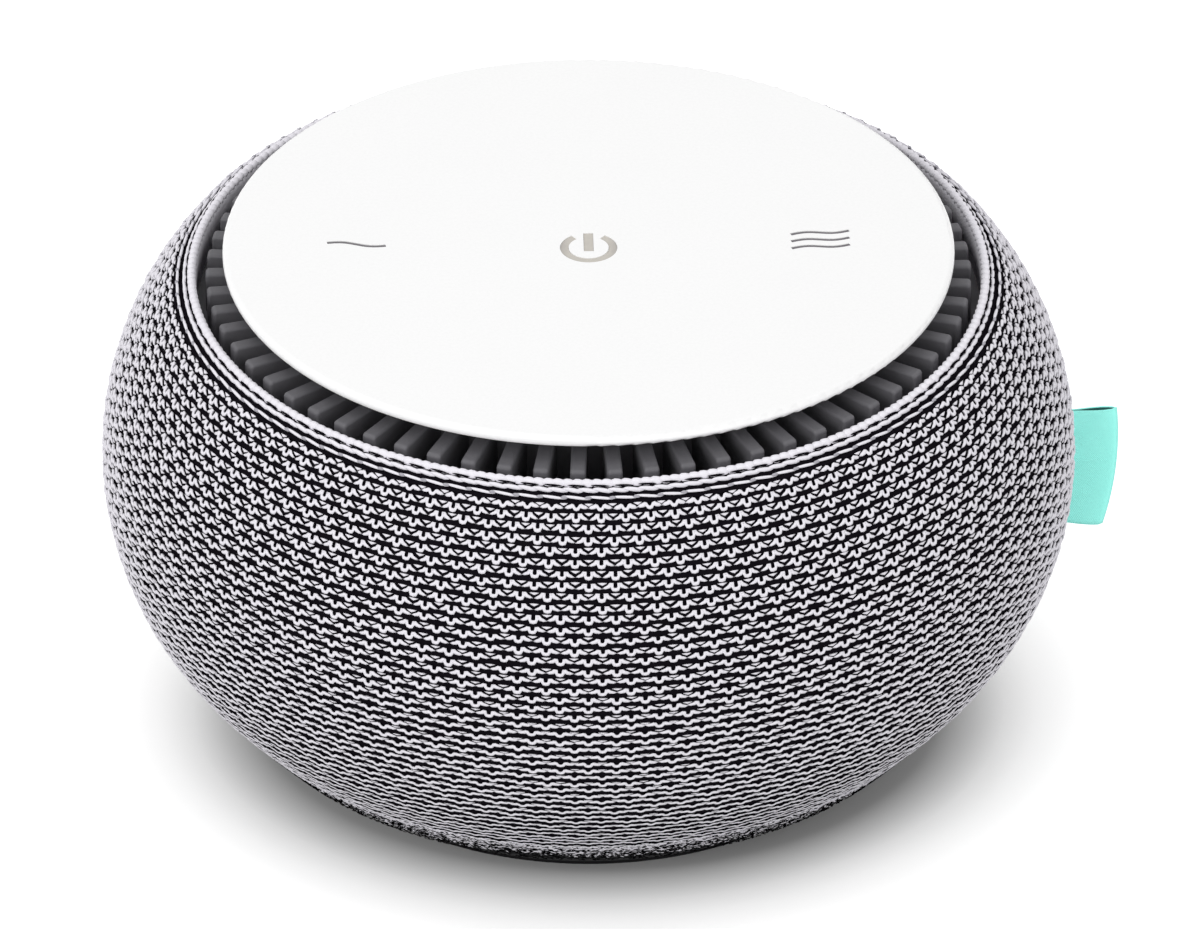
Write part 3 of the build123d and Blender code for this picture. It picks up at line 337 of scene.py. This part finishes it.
def windingCopper():
    # Lacquered turns, one beside the other by radius
    material, graph, place = newMaterial("windingCopper")
    x, y, z = graph.split(place)
    radius = (x * x + y * y).math("SQRT")
    turns = graph.waves(radius, 0.42 * mm)
    cloud = graph.noise(place, 1.0, 4.0, 0.6)
    tone = graph.mix(turns * 0.5 + 0.5, linear(120, 52, 22), linear(214, 122, 62))
    tone = graph.mix(cloud * 0.4, tone, linear(232, 150, 84))
    surface(graph, tone, 0.24 + cloud * 0.16, turns, 0.12, Metallic=0.9, Coat_Weight=0.5)
    return material


def circuitBoard():
    # Solder mask with routed tracks and plated holes
    material, graph, place = newMaterial("circuitBoard")
    tracks = graph.add(
        "ShaderNodeTexBrick", {"offset": 0.37, "squash": 0.6}, Vector=place, Color1=black, Color2=black,
        Mortar=white, Scale=1.0, Mortar_Size=0.22 * mm, Mortar_Smooth=0.1, Bias=0.0,
        Brick_Width=5.2 * mm, Row_Height=2.1 * mm,
    )
    holes = graph.add("ShaderNodeTexVoronoi", Vector=place, Scale=260.0)
    pads = graph.ramp(holes, (0.10, 1.0), (0.13, 0.0))
    cloud = graph.noise(place, 6.0, 3.0)
    mask = graph.mix(cloud, linear(14, 92, 48), linear(22, 112, 60))
    mask = graph.mix(tracks, mask, linear(52, 146, 84))
    tone = graph.mix(pads, mask, linear(206, 190, 140))
    surface(graph, tone, 0.34 + cloud * 0.1, tracks * 0.5 + pads * 0.5, 0.03)
    return material


def chipBlack():
    # Epoxy chip body with a fine sand texture
    material, graph, place = newMaterial("chipBlack")
    sand = graph.noise(place, 0.12, 3.0, 0.7)
    cloud = graph.noise(place, 4.0, 2.0)
    tone = graph.mix(cloud, linear(34, 34, 36), linear(46, 46, 48))
    surface(graph, tone, 0.5 + sand * 0.2, sand, 0.02)
    return material


def canSleeve():
    # Shrink sleeve with a bare aluminium top
    material, graph, place = newMaterial("capacitorSleeve")
    x, y, z = graph.split(place)
    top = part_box("capacitors")[1].z
    bare = graph.ramp((z - (top - 0.7 * mm)) * (1 / (0.2 * mm)), (0.0, 0.0), (1.0, 1.0))
    cloud = graph.noise(place, 1.2, 4.0)
    tone = graph.mix(bare, linear(38, 44, 78), linear(198, 200, 204))
    surface(graph, tone, 0.34 - bare * 0.12 + cloud * 0.12, cloud, 0.01, Metallic=bare * 0.9)
    return material


def flatCable():
    # Pale ribbon with a copper core every millimetre
    material, graph, place = newMaterial("flatCable")
    x, y, z = graph.split(place)
    cores = graph.waves(x, 1.0 * mm, "COSINE")
    cloud = graph.noise(place, 2.0, 3.0)
    copper = graph.ramp(cores * 0.5 + 0.5, (0.55, 0.0), (0.8, 1.0))
    tone = graph.mix(copper, linear(206, 207, 212), linear(168, 146, 120))
    surface(graph, tone, 0.34 + cloud * 0.1, cores, 0.08)
    return material


leadSplit = {"motorLeadWire": 0.6, "powerLeadWire": 8.95}  # x in mm between the two wires of a lead


def leadWire(name, first, second):
    # Two insulation colours, split at a plane of x, with a drawn grain
    material, graph, place = newMaterial(name)
    x, y, z = graph.split(place)
    side = x.math("GREATER_THAN", leadSplit[name] * mm)
    grain = graph.noise(place, 0.5, 4.0, 0.6)
    tone = graph.mix(side, first, second)
    tone = graph.mix(grain * 0.25, tone, linear(20, 8, 8))
    surface(graph, tone, 0.36 + grain * 0.14, grain, 0.01)
    return material


finishes = {
    capWhite: ["top_cap"],
    iconInkAndShade(): ["icon_inlays"],
    grilleGrey: ["vent_grille"],
    shellBlack: ["outer_shell", "tone_collar"],
    baseBlack: ["base_plate"],
    footRubber: ["foot_ring"],
    housingGrey: ["fan_housing", "inlet_ring", "glide_ring"],
    wheelIvory: ["fan_wheel"],
    mountGrey: ["motor_mount"],
    isolatorRubber: ["motor_isolators"],
    jackBlack: ["power_jack"],
    magnetDark: ["magnet_ring"],
    socketCream: ["board_sockets", "touch_socket"],
    ledLens: ["indicator_leds"],
    screwZinc: [name for name in nodes if name.endswith("_screws")],
    pinNickel: ["jack_pin"],
    bearingSteel: [name for name in nodes if name.startswith("bearing_")] + ["motor_shaft", "shaft_clip"],
    canSteel: ["rotor_can"],
    laminatedSteel(): ["stator_core"],
    windingCopper(): ["stator_windings"],
    circuitBoard(): ["jack_board", "main_board", "motor_board", "touch_board"],
    chipBlack(): ["controller_chip", "touch_chip"],
    canSleeve(): ["capacitors"],
    flatCable(): ["ribbon_cable"],
    leadWire("motorLeadWire", linear(150, 24, 20), linear(196, 150, 30)): ["motor_lead"],
    leadWire("powerLeadWire", linear(160, 22, 20), linear(28, 26, 28)): ["power_lead"],
}
for material, names in finishes.items():
    for name in names:
        nodes[name].data.materials.clear()
        nodes[name].data.materials.append(material)
print("finishes assigned")


# Profile of the body: a bulge arc from the mouth, a straight slope and a bend into the underside,
# in mm, with the slope in degrees from the vertical
body = {
    "bulgeRadius": 44.0, "bulgeCentre": 27.1, "waist": 45.3, "mouth": 74.0, "slope": 42.0, "underside": 6.0,
    "bend": 5.0,
}

# Knitted sleeve: lengths in mm and the phase in degrees,
# stops as (distance down from the mouth, value), zones as (last course, blend)
knit = {
    "wales": 110, "firstLoop": 1.10, "loopDrop": 0.66, "phase": -91.16, "pairShift": 0.035,
    "coursePitch": [(0, 1.66), (18, 1.60), (38, 1.42), (48, 1.44), (56, 1.62), (66, 1.75), (90, 1.8)],
    "lastLoop": 72.4, "yarnDepth": -0.25, "groundDepth": -0.42, "nominalPitch": 4.0, "footPitch": 3.0,
    "jitter": 0.06, "settling": (12.0, 44.0), "pressing": (26.0, 62.0), "pressed": -0.62,
    "firstDrop": 0.22, "loopSettled": (0.06, -0.08, 0.0), "nubSettled": (-0.12, -0.62, 0.0),
    "zones": [(1, 0.9), (11, 0.0), (21, 0.4), (31, 0.8), (40, 1.0), (60, 1.0)],
    "loopSeed": 7, "nubSeed": 31,
}
mouthAngle = math.asin((body["mouth"] - body["waist"]) / body["bulgeRadius"])
slopeAngle = math.radians(body["slope"])
arcLength = (mouthAngle + slopeAngle) * body["bulgeRadius"]
slopeDrop = body["waist"] - body["bulgeRadius"] * math.sin(slopeAngle) - body["underside"]
bendTurn = math.pi / 2 - slopeAngle
slopeLength = slopeDrop / math.cos(slopeAngle) - body["bend"] * math.tan(bendTurn / 2)
bendLength = bendTurn * body["bend"]


def wrapOnBody(graph, geometry):
    # Lays a flat strip on the body: x counts wales, -y runs down from the mouth and z stands out, in mm
    spot = graph.add("GeometryNodeInputPosition")
    x, y, z = graph.split(spot)
    down = -y
    onArc = down.math("MINIMUM", arcLength)
    onSlope = (down - arcLength).math("MAXIMUM", 0.0).math("MINIMUM", slopeLength)
    onBend = (down - (arcLength + slopeLength)).math("MAXIMUM", 0.0).math("MINIMUM", bendLength)
    beyond = (down - (arcLength + slopeLength + bendLength)).math("MAXIMUM", 0.0)
    swing = mouthAngle - onArc / body["bulgeRadius"]
    low = -slopeAngle
    lean = low - onBend / body["bend"]
    radius = body["bulgeCentre"] + swing.math("COSINE") * body["bulgeRadius"] + onSlope * math.sin(low)
    radius = radius + (lean.math("COSINE") - math.cos(low)) * body["bend"] - beyond
    height = body["waist"] + swing.math("SINE") * body["bulgeRadius"] - onSlope * math.cos(low)
    height = height + (lean.math("SINE") - math.sin(low)) * body["bend"]
    facing = swing - onBend / body["bend"]
    radius = (radius + z * facing.math("COSINE")) * mm
    height = (height + z * facing.math("SINE")) * mm
    turn = x * (2 * math.pi / knit["wales"]) + math.radians(knit["phase"])
    east, north = radius * turn.math("COSINE"), radius * turn.math("SINE")
    landed = graph.add("ShaderNodeCombineXYZ", None, east, north, height)
    return graph.add("GeometryNodeSetPosition", None, geometry, None, landed)


def newTree(name, inputs):
    tree = bpy.data.node_groups.new(name, "GeometryNodeTree")
    tree.interface.new_socket("Geometry", in_out="INPUT", socket_type="NodeSocketGeometry")
    for label, kind in inputs.items():
        tree.interface.new_socket(label, in_out="INPUT", socket_type=kind)
    tree.interface.new_socket("Geometry", in_out="OUTPUT", socket_type="NodeSocketGeometry")
    graph = Graph(tree)
    source = tree.nodes.new("NodeGroupInput")
    return tree, graph, {socket.name: Wire(graph, socket) for socket in source.outputs if socket.name}


def finishTree(graph, geometry, material):
    smooth = graph.add("GeometryNodeSetShadeSmooth", None, geometry)
    painted = graph.add("GeometryNodeSetMaterial", None, smooth, None, material)
    graph.add("NodeGroupOutput", None, painted)


def grown(name, tree, seedMesh, values):
    # Runs a tree on a mesh and keeps the result as a plain mesh
    holder = addObject(name + "Seed", seedMesh)
    modifier = holder.modifiers.new("grow", "NODES")
    modifier.node_group = tree
    sockets = {item.name: item.identifier for item in tree.interface.items_tree if item.in_out == "INPUT"}
    for label, value in values.items():
        modifier[sockets[label]] = value
    bpy.context.view_layer.update()
    ready = holder.evaluated_get(bpy.context.evaluated_depsgraph_get())
    result = bpy.data.meshes.new_from_object(ready)
    result.name = name
    bpy.data.objects.remove(holder)
    return addObject(name, result)


def grownFrom(name, tree, seedMesh, unitMesh, values):
    # The same with a unit mesh for the tree to repeat, which is gone afterwards
    unit = addObject(name + "Unit", unitMesh)
    piece = grown(name, tree, seedMesh, {"Unit": unit, **values})
    bpy.data.objects.remove(unit)
    return piece


def thicken(piece, thickness, side, lining=0):
    # Gives a single layer its thickness in mm and keeps the result as a plain mesh
    layer = piece.modifiers.new("thickness", "SOLIDIFY")
    layer.thickness, layer.offset, layer.material_offset = thickness * mm, side, lining
    ready = piece.evaluated_get(bpy.context.evaluated_depsgraph_get())
    result = bpy.data.meshes.new_from_object(ready)
    piece.modifiers.clear()
    piece.data = result


def sweptUnit(name, spine, sides=5):
    # Closed tube through (x, y, z, in-plane radius, outward radius), pointed at both ends
    mesh = bmesh.new()
    rings = []
    for i, (x, y, z, wide, high) in enumerate(spine):
        if i in (0, len(spine) - 1):
            rings.append([mesh.verts.new((x, y, z))])
            continue
        before, after = Vector(spine[i - 1][:2]), Vector(spine[i + 1][:2])
        along = (after - before).normalized()
        across = Vector((-along.y, along.x))
        ring = []
        for k in range(sides):
            angle = math.pi / 2 + 2 * math.pi * k / sides
            side, out = math.cos(angle) * wide, math.sin(angle) * high
            ring.append(mesh.verts.new((x + across.x * side, y + across.y * side, z + out)))
        rings.append(ring)
    for first, second in zip(rings, rings[1:]):
        for k in range(sides):
            n = (k + 1) % sides
            if len(first) == 1:
                mesh.faces.new((first[0], second[n], second[k]))
            elif len(second) == 1:
                mesh.faces.new((first[k], first[n], second[0]))
            else:
                mesh.faces.new((first[k], first[n], second[n], second[k]))
    bmesh.ops.recalc_face_normals(mesh, faces=mesh.faces)
    data = bpy.data.meshes.new(name)
    mesh.to_mesh(data)
    mesh.free()
    return data


# A loop as it shows: two thin wings, two shoulders and a U between them.
# The first row of each pair is near the mouth, the second near the foot, where the rows close up
loopRings = [
    ((-2.02, -0.33, -0.17, 0, 0), (-2.06, -0.14, -0.20, 0, 0)),
    ((-1.50, -0.18, -0.01, 0.20, 0.15), (-1.52, -0.06, 0.00, 0.27, 0.16)),
    ((-1.02, 0.00, 0.03, 0.28, 0.20), (-1.04, 0.02, 0.03, 0.33, 0.20)),
    ((-0.70, 0.33, 0.07, 0.32, 0.25), (-0.74, 0.13, 0.07, 0.33, 0.24)),
    ((-0.52, 0.42, 0.08, 0.29, 0.25), (-0.58, 0.10, 0.07, 0.26, 0.24)),
    ((-0.50, -0.10, 0.07, 0.22, 0.25), (-0.40, -0.12, 0.07, 0.25, 0.24)),
    ((-0.32, -0.41, 0.06, 0.28, 0.25), (-0.25, -0.30, 0.06, 0.27, 0.24)),
    ((0, -0.46, 0.05, 0.29, 0.25), (0, -0.36, 0.05, 0.27, 0.24)),
]


def countedInWales(mesh):
    for vertex in mesh.vertices:
        vertex.co.x /= knit["nominalPitch"]
    return mesh


def loopMesh(number, share):
    # Blend of the two rows above, mirrored about the middle of the U
    half = [tuple(a + (b - a) * share for a, b in zip(upper, lower)) for upper, lower in loopRings]
    spine = half + [(-x, y, z, wide, high) for x, y, z, wide, high in reversed(half[:-1])]
    return countedInWales(sweptUnit(f"loopUnit{number}", spine))


# Bit of the row behind, seen between two loops: a rim round a low crown
nub = {
    "rim": [(-0.72, 0.57), (0, 0.61), (0.72, 0.57), (0.40, 0.37), (0, 0.18), (-0.40, 0.37)],
    "crown": (0, 0.46, 0.06), "front": -0.06, "rear": -0.40,
}


def nubMesh():
    mesh = bmesh.new()
    crown = mesh.verts.new(nub["crown"])
    front = [mesh.verts.new((x, y, nub["front"])) for x, y in nub["rim"]]
    rear = [mesh.verts.new((x, y, nub["rear"])) for x, y in nub["rim"]]
    for k in range(len(front)):
        n = (k + 1) % len(front)
        mesh.faces.new((crown, front[n], front[k]))
        mesh.faces.new((front[k], front[n], rear[n], rear[k]))
    mesh.faces.new(rear)
    bmesh.ops.recalc_face_normals(mesh, faces=mesh.faces)
    data = bpy.data.meshes.new("nubUnit")
    mesh.to_mesh(data)
    mesh.free()
    return countedInWales(data)


def between(stops, spot):
    # Value at spot on the straight lines through (place, value)
    for (s0, v0), (s1, v1) in zip(stops, stops[1:]):
        if spot < s1:
            return v0 + (v1 - v0) * (spot - s0) / (s1 - s0)
    return stops[-1][1]


def layCourses():
    # Distance down of each course and its shift in wales, which two courses in a row share
    rows, down = [], knit["firstLoop"]
    while down < knit["lastLoop"]:
        side = 1 if len(rows) % 2 == 0 else -1
        shift = 0.5 if len(rows) // 2 % 2 == 0 else 0.0
        rows.append((down, shift))
        down += between(knit["coursePitch"], down) * (1 + knit["pairShift"] * side)
    rows[0] = (rows[0][0] + knit["firstDrop"], rows[0][1])
    return rows


courses = layCourses()


def coursePoints(name, rows, shift=0.0):
    points = [
        (wale + offset + shift, -(low - knit["loopDrop"]), knit["yarnDepth"])
        for low, offset in rows
        for wale in range(knit["wales"])
    ]
    data = bpy.data.meshes.new(name)
    data.from_pydata(points, [], [])
    return data


def knitTree(material):
    inputs = {"Unit": "NodeSocketObject", "Seed": "NodeSocketInt", "Settle": "NodeSocketVector"}
    tree, graph, given = newTree("knitOnBody", inputs)
    size = graph.add(
        "FunctionNodeRandomValue", {"data_type": "FLOAT_VECTOR"},
        Min=(0.97, 0.92, 0.9), Max=(1.03, 1.08, 1.1), Seed=given["Seed"],
    )
    sway = graph.add(
        "FunctionNodeRandomValue", {"data_type": "FLOAT_VECTOR"},
        Min=(-0.25, -1, -1), Max=(0.25, 1, 1), Seed=given["Seed"] + 1,
    )
    moved = graph.add(
        "GeometryNodeSetPosition", None, given["Geometry"],
        Offset=graph.vector("MULTIPLY", sway, (knit["jitter"],) * 3),
    )
    down = -graph.split(graph.add("GeometryNodeInputPosition"))[1]
    eased = {"interpolation_type": "SMOOTHSTEP"}
    settled = graph.add("ShaderNodeMapRange", eased, down, *knit["settling"])
    pressed = graph.add("ShaderNodeMapRange", eased, down, *knit["pressing"])
    change = graph.vector("SCALE", given["Settle"], None, None, settled)
    flat = graph.add("ShaderNodeCombineXYZ", None, 1.0, 1.0, pressed * knit["pressed"] + 1.0)
    size = graph.vector("MULTIPLY", size, graph.vector("ADD", change, flat))
    whole = graph.instances(moved, given["Unit"], Scale=size)
    finishTree(graph, wrapOnBody(graph, whole), material)
    return tree


def yarn(name, colour, shadow, depth):
    # Spun yarn: fine twisted fibres, matt, with no specular
    material, graph, place = newMaterial(name)
    strands = graph.add(
        "ShaderNodeTexWave", {"bands_direction": "DIAGONAL"}, Vector=place, Scale=900.0, Distortion=6.0,
        Detail=3.0, Detail_Scale=2.0,
    )
    fibres = graph.noise(place, 0.16, 4.0, 0.7)
    cloud = graph.noise(place, 9.0, 2.0)
    tone = graph.mix(fibres, shadow, colour)
    tone = graph.mix(cloud * 0.25, tone, shade(colour, 0.93))
    surface(graph, tone, 0.78 + fibres * 0.12, strands * 0.4 + fibres * 0.6, depth, Specular_IOR_Level=0.0)
    return material


yarnWhite = yarn("yarnWhite", linear(250, 248, 253), linear(228, 225, 234), 0.04)
yarnBlack = yarn("yarnBlack", linear(26, 23, 29), linear(12, 10, 14), 0.08)
frayDark = yarn("frayDark", linear(13, 12, 14), linear(5, 5, 6), 0.04)
tree = knitTree(yarnWhite)
yarnPieces = []
start = 0
for number, (end, share) in enumerate(knit["zones"]):
    yarnPieces.append(grownFrom(
        f"knitLoops{number + 1}", tree, coursePoints("loopPoints", courses[start:end]),
        loopMesh(number, share), {"Seed": knit["loopSeed"] + number, "Settle": knit["loopSettled"]},
    ))
    start = end
yarnPieces.append(grownFrom(
    "knitNubs", tree, coursePoints("nubPoints", courses, 0.5),
    nubMesh(), {"Seed": knit["nubSeed"], "Settle": knit["nubSettled"]},
))

# Frayed end of the knit: short loose fibres, white ones thinning out and dark ones over the last course
fray = {
    "frayWhite": {
        "count": 6400, "span": (67.4, 73.4), "lean": 1.4, "lift": -0.16, "seed": 41, "yarn": yarnWhite,
    },
    "frayBlack": {
        "count": 6400, "span": (68.0, 74.8), "lean": 0.70, "lift": -0.06, "seed": 43, "yarn": frayDark,
    },
}
fibre = {"length": 0.66, "wide": 0.055, "sides": 4}


def frayTree(name, material):
    # Fibres are turned while flat, with x in mm, and only then counted in wales
    inputs = {"Unit": "NodeSocketObject", "Seed": "NodeSocketInt"}
    tree, graph, given = newTree(name, inputs)
    turn = graph.add(
        "FunctionNodeRandomValue", {"data_type": "FLOAT_VECTOR"}, Min=(-0.3, -0.3, -0.8), Max=(0.3, 0.3, 0.8),
        Seed=given["Seed"],
    )
    whole = graph.instances(given["Geometry"], given["Unit"], Rotation=turn)
    spot = graph.add("GeometryNodeInputPosition")
    inWales = graph.vector("DIVIDE", spot, (knit["footPitch"], 1.0, 1.0))
    narrow = graph.add("GeometryNodeSetPosition", None, whole, None, inWales)
    finishTree(graph, wrapOnBody(graph, narrow), material)
    return tree


fibreSpine = [
    (fibre["length"] * share, 0, 0, fibre["wide"] * thick, fibre["wide"] * thick)
    for share, thick in ((-0.5, 0), (-0.25, 1), (0.25, 1), (0.5, 0))
]
fibreMesh = sweptUnit("fibreUnit", fibreSpine, fibre["sides"])
girth = knit["wales"] * knit["footPitch"]
for name, row in fray.items():
    chance = random.Random(row["seed"])
    first, last = row["span"]
    points = [
        (chance.random() * girth, -(first + (last - first) * chance.random() ** row["lean"]), row["lift"])
        for _ in range(row["count"])
    ]
    data = bpy.data.meshes.new(name)
    data.from_pydata(points, [], [])
    yarnPieces.append(grownFrom(name, frayTree(name, row["yarn"]), data, fibreMesh, {"Seed": row["seed"]}))

# Dark ground of the sleeve: a fine grid with a ridge for each course, wrapped by the same rule
ground = {
    "columns": 220, "rowsPerCourse": 3, "start": -0.1, "end": 78.4, "lastGap": 0.3, "ridge": 0.07,
    "thick": 0.6,
    "raise": [(0.0, 0.0), (34.0, 0.0), (60.0, 0.14), (90.0, 0.14)],
}
levels = [ground["start"]]
for (low, _), (after, _) in zip(courses, courses[1:]):
    levels += [low + (after - low) * k / ground["rowsPerCourse"] for k in range(ground["rowsPerCourse"])]
levels = [level for level in levels if level < ground["end"] - ground["lastGap"]] + [ground["end"]]
vertices, faces = [], []
for i, level in enumerate(levels):
    rise = ground["ridge"] if i % ground["rowsPerCourse"] == 1 else -ground["ridge"]
    rise += between(ground["raise"], level)
    for k in range(ground["columns"]):
        vertices.append((k * knit["wales"] / ground["columns"], -level, knit["groundDepth"] + rise))
for i in range(len(levels) - 1):
    for k in range(ground["columns"]):
        n = (k + 1) % ground["columns"]
        a, b = i * ground["columns"], (i + 1) * ground["columns"]
        faces.append((a + k, b + k, b + n, a + n))
groundMesh = bpy.data.meshes.new("groundGrid")
groundMesh.from_pydata(vertices, [], faces)
tree, graph, given = newTree("groundOnBody", {})
finishTree(graph, wrapOnBody(graph, given["Geometry"]), yarnBlack)
knitGround = grown("knitGround", tree, groundMesh, {})
thicken(knitGround, ground["thick"], -1.0)
print("sleeve knitted:", len(courses), "courses")

yarnGrey = yarn("yarnGrey", linear(196, 194, 202), linear(150, 148, 156), 0.06)

# Hem: rings of yarn grains on a dark band, with sizes in mm and the tilt of each grain in degrees
hem = {
    "bead": {
        "radius": 57.55, "height": 75.34, "count": 262, "length": 2.3, "wide": 0.72, "tilt": 12.0, "seed": 3,
        "yarn": yarnWhite, "phase": 0.0,
    },
    "cord": {
        "radius": 58.55, "height": 74.82, "count": 172, "length": 3.2, "wide": 0.37, "tilt": 9.0, "seed": 5,
        "yarn": yarnWhite, "phase": 0.0,
    },
    "thread": {
        "radius": 59.64, "height": 74.27, "count": 110, "length": 4.2, "wide": 0.24, "tilt": 6.0, "seed": 9,
        "yarn": yarnWhite, "phase": 0.5,
    },
    "dashes": {
        "radius": 58.27, "height": 75.40, "count": 110, "length": 2.7, "wide": 0.16, "tilt": 3.0, "seed": 13,
        "yarn": yarnBlack, "phase": 0.5,
    },
    "knots": {
        "radius": 59.76, "height": 74.36, "count": 110, "length": 1.1, "wide": 0.25, "tilt": 2.0, "seed": 17,
        "yarn": yarnGrey, "phase": 0.0,
    },
}
band = {
    "section": [
        (56.85, 70.0), (56.85, 74.6), (57.0, 75.3), (57.4, 75.6), (57.95, 75.3), (58.5, 74.75), (59.1, 74.3),
        (59.65, 74.0), (60.2, 73.85), (60.35, 73.5), (59.3, 73.4), (58.3, 72.9), (57.6, 71.5), (57.5, 70.0),
    ],
    "steps": 220, "facingIn": -0.7,
}


def grainMesh(name, length, wide):
    # Rice-grain bundle of yarn along x
    spine = [
        (share * length / 2, 0, 0, wide * thick, wide * thick)
        for share, thick in ((-1, 0), (-0.8, 0.5), (-0.45, 0.9), (0, 1), (0.45, 0.9), (0.8, 0.5), (1, 0))
    ]
    return sweptUnit(name, spine, 6)


def ringTree(name, material):
    inputs = {
        "Unit": "NodeSocketObject", "Count": "NodeSocketInt", "Seed": "NodeSocketInt",
        "Radius": "NodeSocketFloat", "Height": "NodeSocketFloat", "Tilt": "NodeSocketFloat",
        "Phase": "NodeSocketFloat",
    }
    tree, graph, given = newTree(name, inputs)
    index = graph.add("GeometryNodeInputIndex")
    start = math.radians(knit["phase"])
    turn = (index + given["Phase"]) / given["Count"] * (2 * math.pi) + start
    x, y = turn.math("COSINE") * given["Radius"], turn.math("SINE") * given["Radius"]
    spot = graph.add("ShaderNodeCombineXYZ", None, x, y, given["Height"])
    ring = graph.add("GeometryNodePoints", None, given["Count"], spot)
    sway = graph.add("FunctionNodeRandomValue", None, None, None, -0.35, 0.35, Seed=given["Seed"], out=1)
    facing = graph.add("ShaderNodeCombineXYZ", None, 0.0, given["Tilt"] * (sway + 1.0), turn + math.pi / 2)
    finishTree(graph, graph.instances(ring, given["Unit"], Rotation=facing), material)
    return tree


emptyMesh = bpy.data.meshes.new("empty")
hemPieces = []
for name, row in hem.items():
    grain = grainMesh(name + "Unit", row["length"] * mm, row["wide"] * mm)
    ring = ringTree(name + "Ring", row["yarn"])
    hemPieces.append(grownFrom("hem" + name.capitalize(), ring, emptyMesh, grain, {
        "Radius": row["radius"] * mm, "Height": row["height"] * mm, "Count": row["count"],
        "Tilt": math.radians(row["tilt"]), "Phase": row["phase"], "Seed": row["seed"],
    }))


def turnedBand(name, material, lining):
    # Ring turned from a closed section of (radius, height), with the lining on its inner wall
    vertices, faces = [], []
    section, steps, size = band["section"], band["steps"], len(band["section"])
    for k in range(steps):
        angle = 2 * math.pi * k / steps
        vertices += [(r * mm * math.cos(angle), r * mm * math.sin(angle), z * mm) for r, z in section]
    for k in range(steps):
        n = (k + 1) % steps
        for i in range(size):
            j = (i + 1) % size
            faces.append((k * size + i, n * size + i, n * size + j, k * size + j))
    data = bpy.data.meshes.new(name)
    data.from_pydata(vertices, [], faces)
    mesh = bmesh.new()
    mesh.from_mesh(data)
    bmesh.ops.recalc_face_normals(mesh, faces=mesh.faces)
    mesh.to_mesh(data)
    mesh.free()
    data.shade_smooth()
    data.materials.append(material)
    data.materials.append(lining)
    for face in data.polygons:
        outward = face.center.xy.normalized().dot(face.normal.xy)
        face.material_index = int(outward < band["facingIn"])
    return addObject(name, data)


hemBand = turnedBand("hemBand", yarnBlack, yarnWhite)
print("hem laid")

# Side label: a folded ribbon with an open fold, in mm
label = {
    "inner": -0.6, "out": 6.3, "reach": 6.4, "low": 31.5, "high": 50.5, "thick": 0.32, "tip": 0.10,
    "swell": 0.378, "swellLean": 1.6, "swellFlat": 0.8, "lowSlope": -0.10, "highSlope": 0.06,
    "foldSteps": 12, "heightSteps": 24, "warp": 0.30, "weft": 0.34,
}


def labelRibbon(name, low, high, glow):
    # Plain weave on the ribbon's own map, in mm, glowing with an emission of strength glow as painted light
    material, graph, place = newMaterial(name)
    uv = graph.add("ShaderNodeUVMap", {"uv_map": "ribbonUv"})
    u, v, w = graph.split(uv)
    weave = graph.waves(u, label["warp"]) * graph.waves(v, label["weft"])
    cloud = graph.noise(place, 3.0, 4.0, 0.6)
    tone = graph.mix(weave * 0.5 + 0.5, low, high)
    tone = graph.mix(cloud * 0.3, tone, shade(low, 1.04))
    surface(graph, tone, 0.6 + cloud * 0.15, weave, 0.03, Emission_Color=tone, Emission_Strength=glow)
    return material


def foldPath():
    # (how far out, sideways) from one layer round the fold to the other
    layer = []
    for k in range(label["foldSteps"] + 1):
        t = k / label["foldSteps"]
        swell = label["swell"] * math.sin(math.pi * t ** label["swellLean"]) ** label["swellFlat"]
        layer.append((label["inner"] + (label["out"] - label["inner"]) * t, label["thick"] / 2 + swell))
    layer[-1] = (label["out"], label["tip"])
    return layer + [(out, -side) for out, side in reversed(layer[:-1])]


def bulgeAt(z, lift=0.0):
    return body["bulgeCentre"] + math.sqrt((body["bulgeRadius"] + lift) ** 2 - (z - body["waist"]) ** 2)


def foldedLabel(name, outside, shadedInside):
    path, rows = foldPath(), label["heightSteps"]
    width, lengths = len(path), [0.0]
    for (o1, s1), (o2, s2) in zip(path, path[1:]):
        lengths.append(lengths[-1] + math.hypot(o2 - o1, s2 - s1))
    vertices, faces, coords = [], [], []
    for j in range(rows + 1):
        z = label["low"] + (label["high"] - label["low"]) * j / rows
        slope = label["lowSlope"] + (label["highSlope"] - label["lowSlope"]) * j / rows
        edge, rim = bulgeAt(z), bulgeAt(z, label["reach"])
        for length, (out, side) in zip(lengths, path):
            x = edge + (rim - edge) * out / label["reach"]
            vertices.append((x * mm, side * mm, (z + slope * out) * mm))
            coords.append((length, z))
    for j in range(rows):
        for i in range(width - 1):
            faces.append((j * width + i, (j + 1) * width + i, (j + 1) * width + i + 1, j * width + i + 1))
    data = bpy.data.meshes.new(name)
    data.from_pydata(vertices, [], faces)
    uvLayer = data.uv_layers.new(name="ribbonUv")
    for loop in data.loops:
        uvLayer.data[loop.index].uv = coords[loop.vertex_index]
    data.shade_smooth()
    data.materials.append(outside)
    data.materials.append(shadedInside)
    return addObject(name, data)


# The outer ribbon glows with painted light, though it is no lamp
mintRibbonPaintedGlow = labelRibbon("mintRibbonPaintedGlow", linear(144, 244, 230), linear(168, 255, 246), 0.25)
# The inside of the open fold: a darker copy of the same ribbon, painted shade
mintInsidePaintedShade = labelRibbon("mintInsidePaintedShade", linear(38, 112, 104), linear(48, 126, 118), 0.0)
sideLabel = foldedLabel("sideLabel", mintRibbonPaintedGlow, mintInsidePaintedShade)
thicken(sideLabel, label["thick"], 0.0, 1)
print("label folded")

# Who rides on what
for piece in [knitGround, *yarnPieces, *hemPieces, hemBand, sideLabel]:
    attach(piece, "shell")
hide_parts("knit_sleeve")
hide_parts("rim_hem")
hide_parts("side_label")
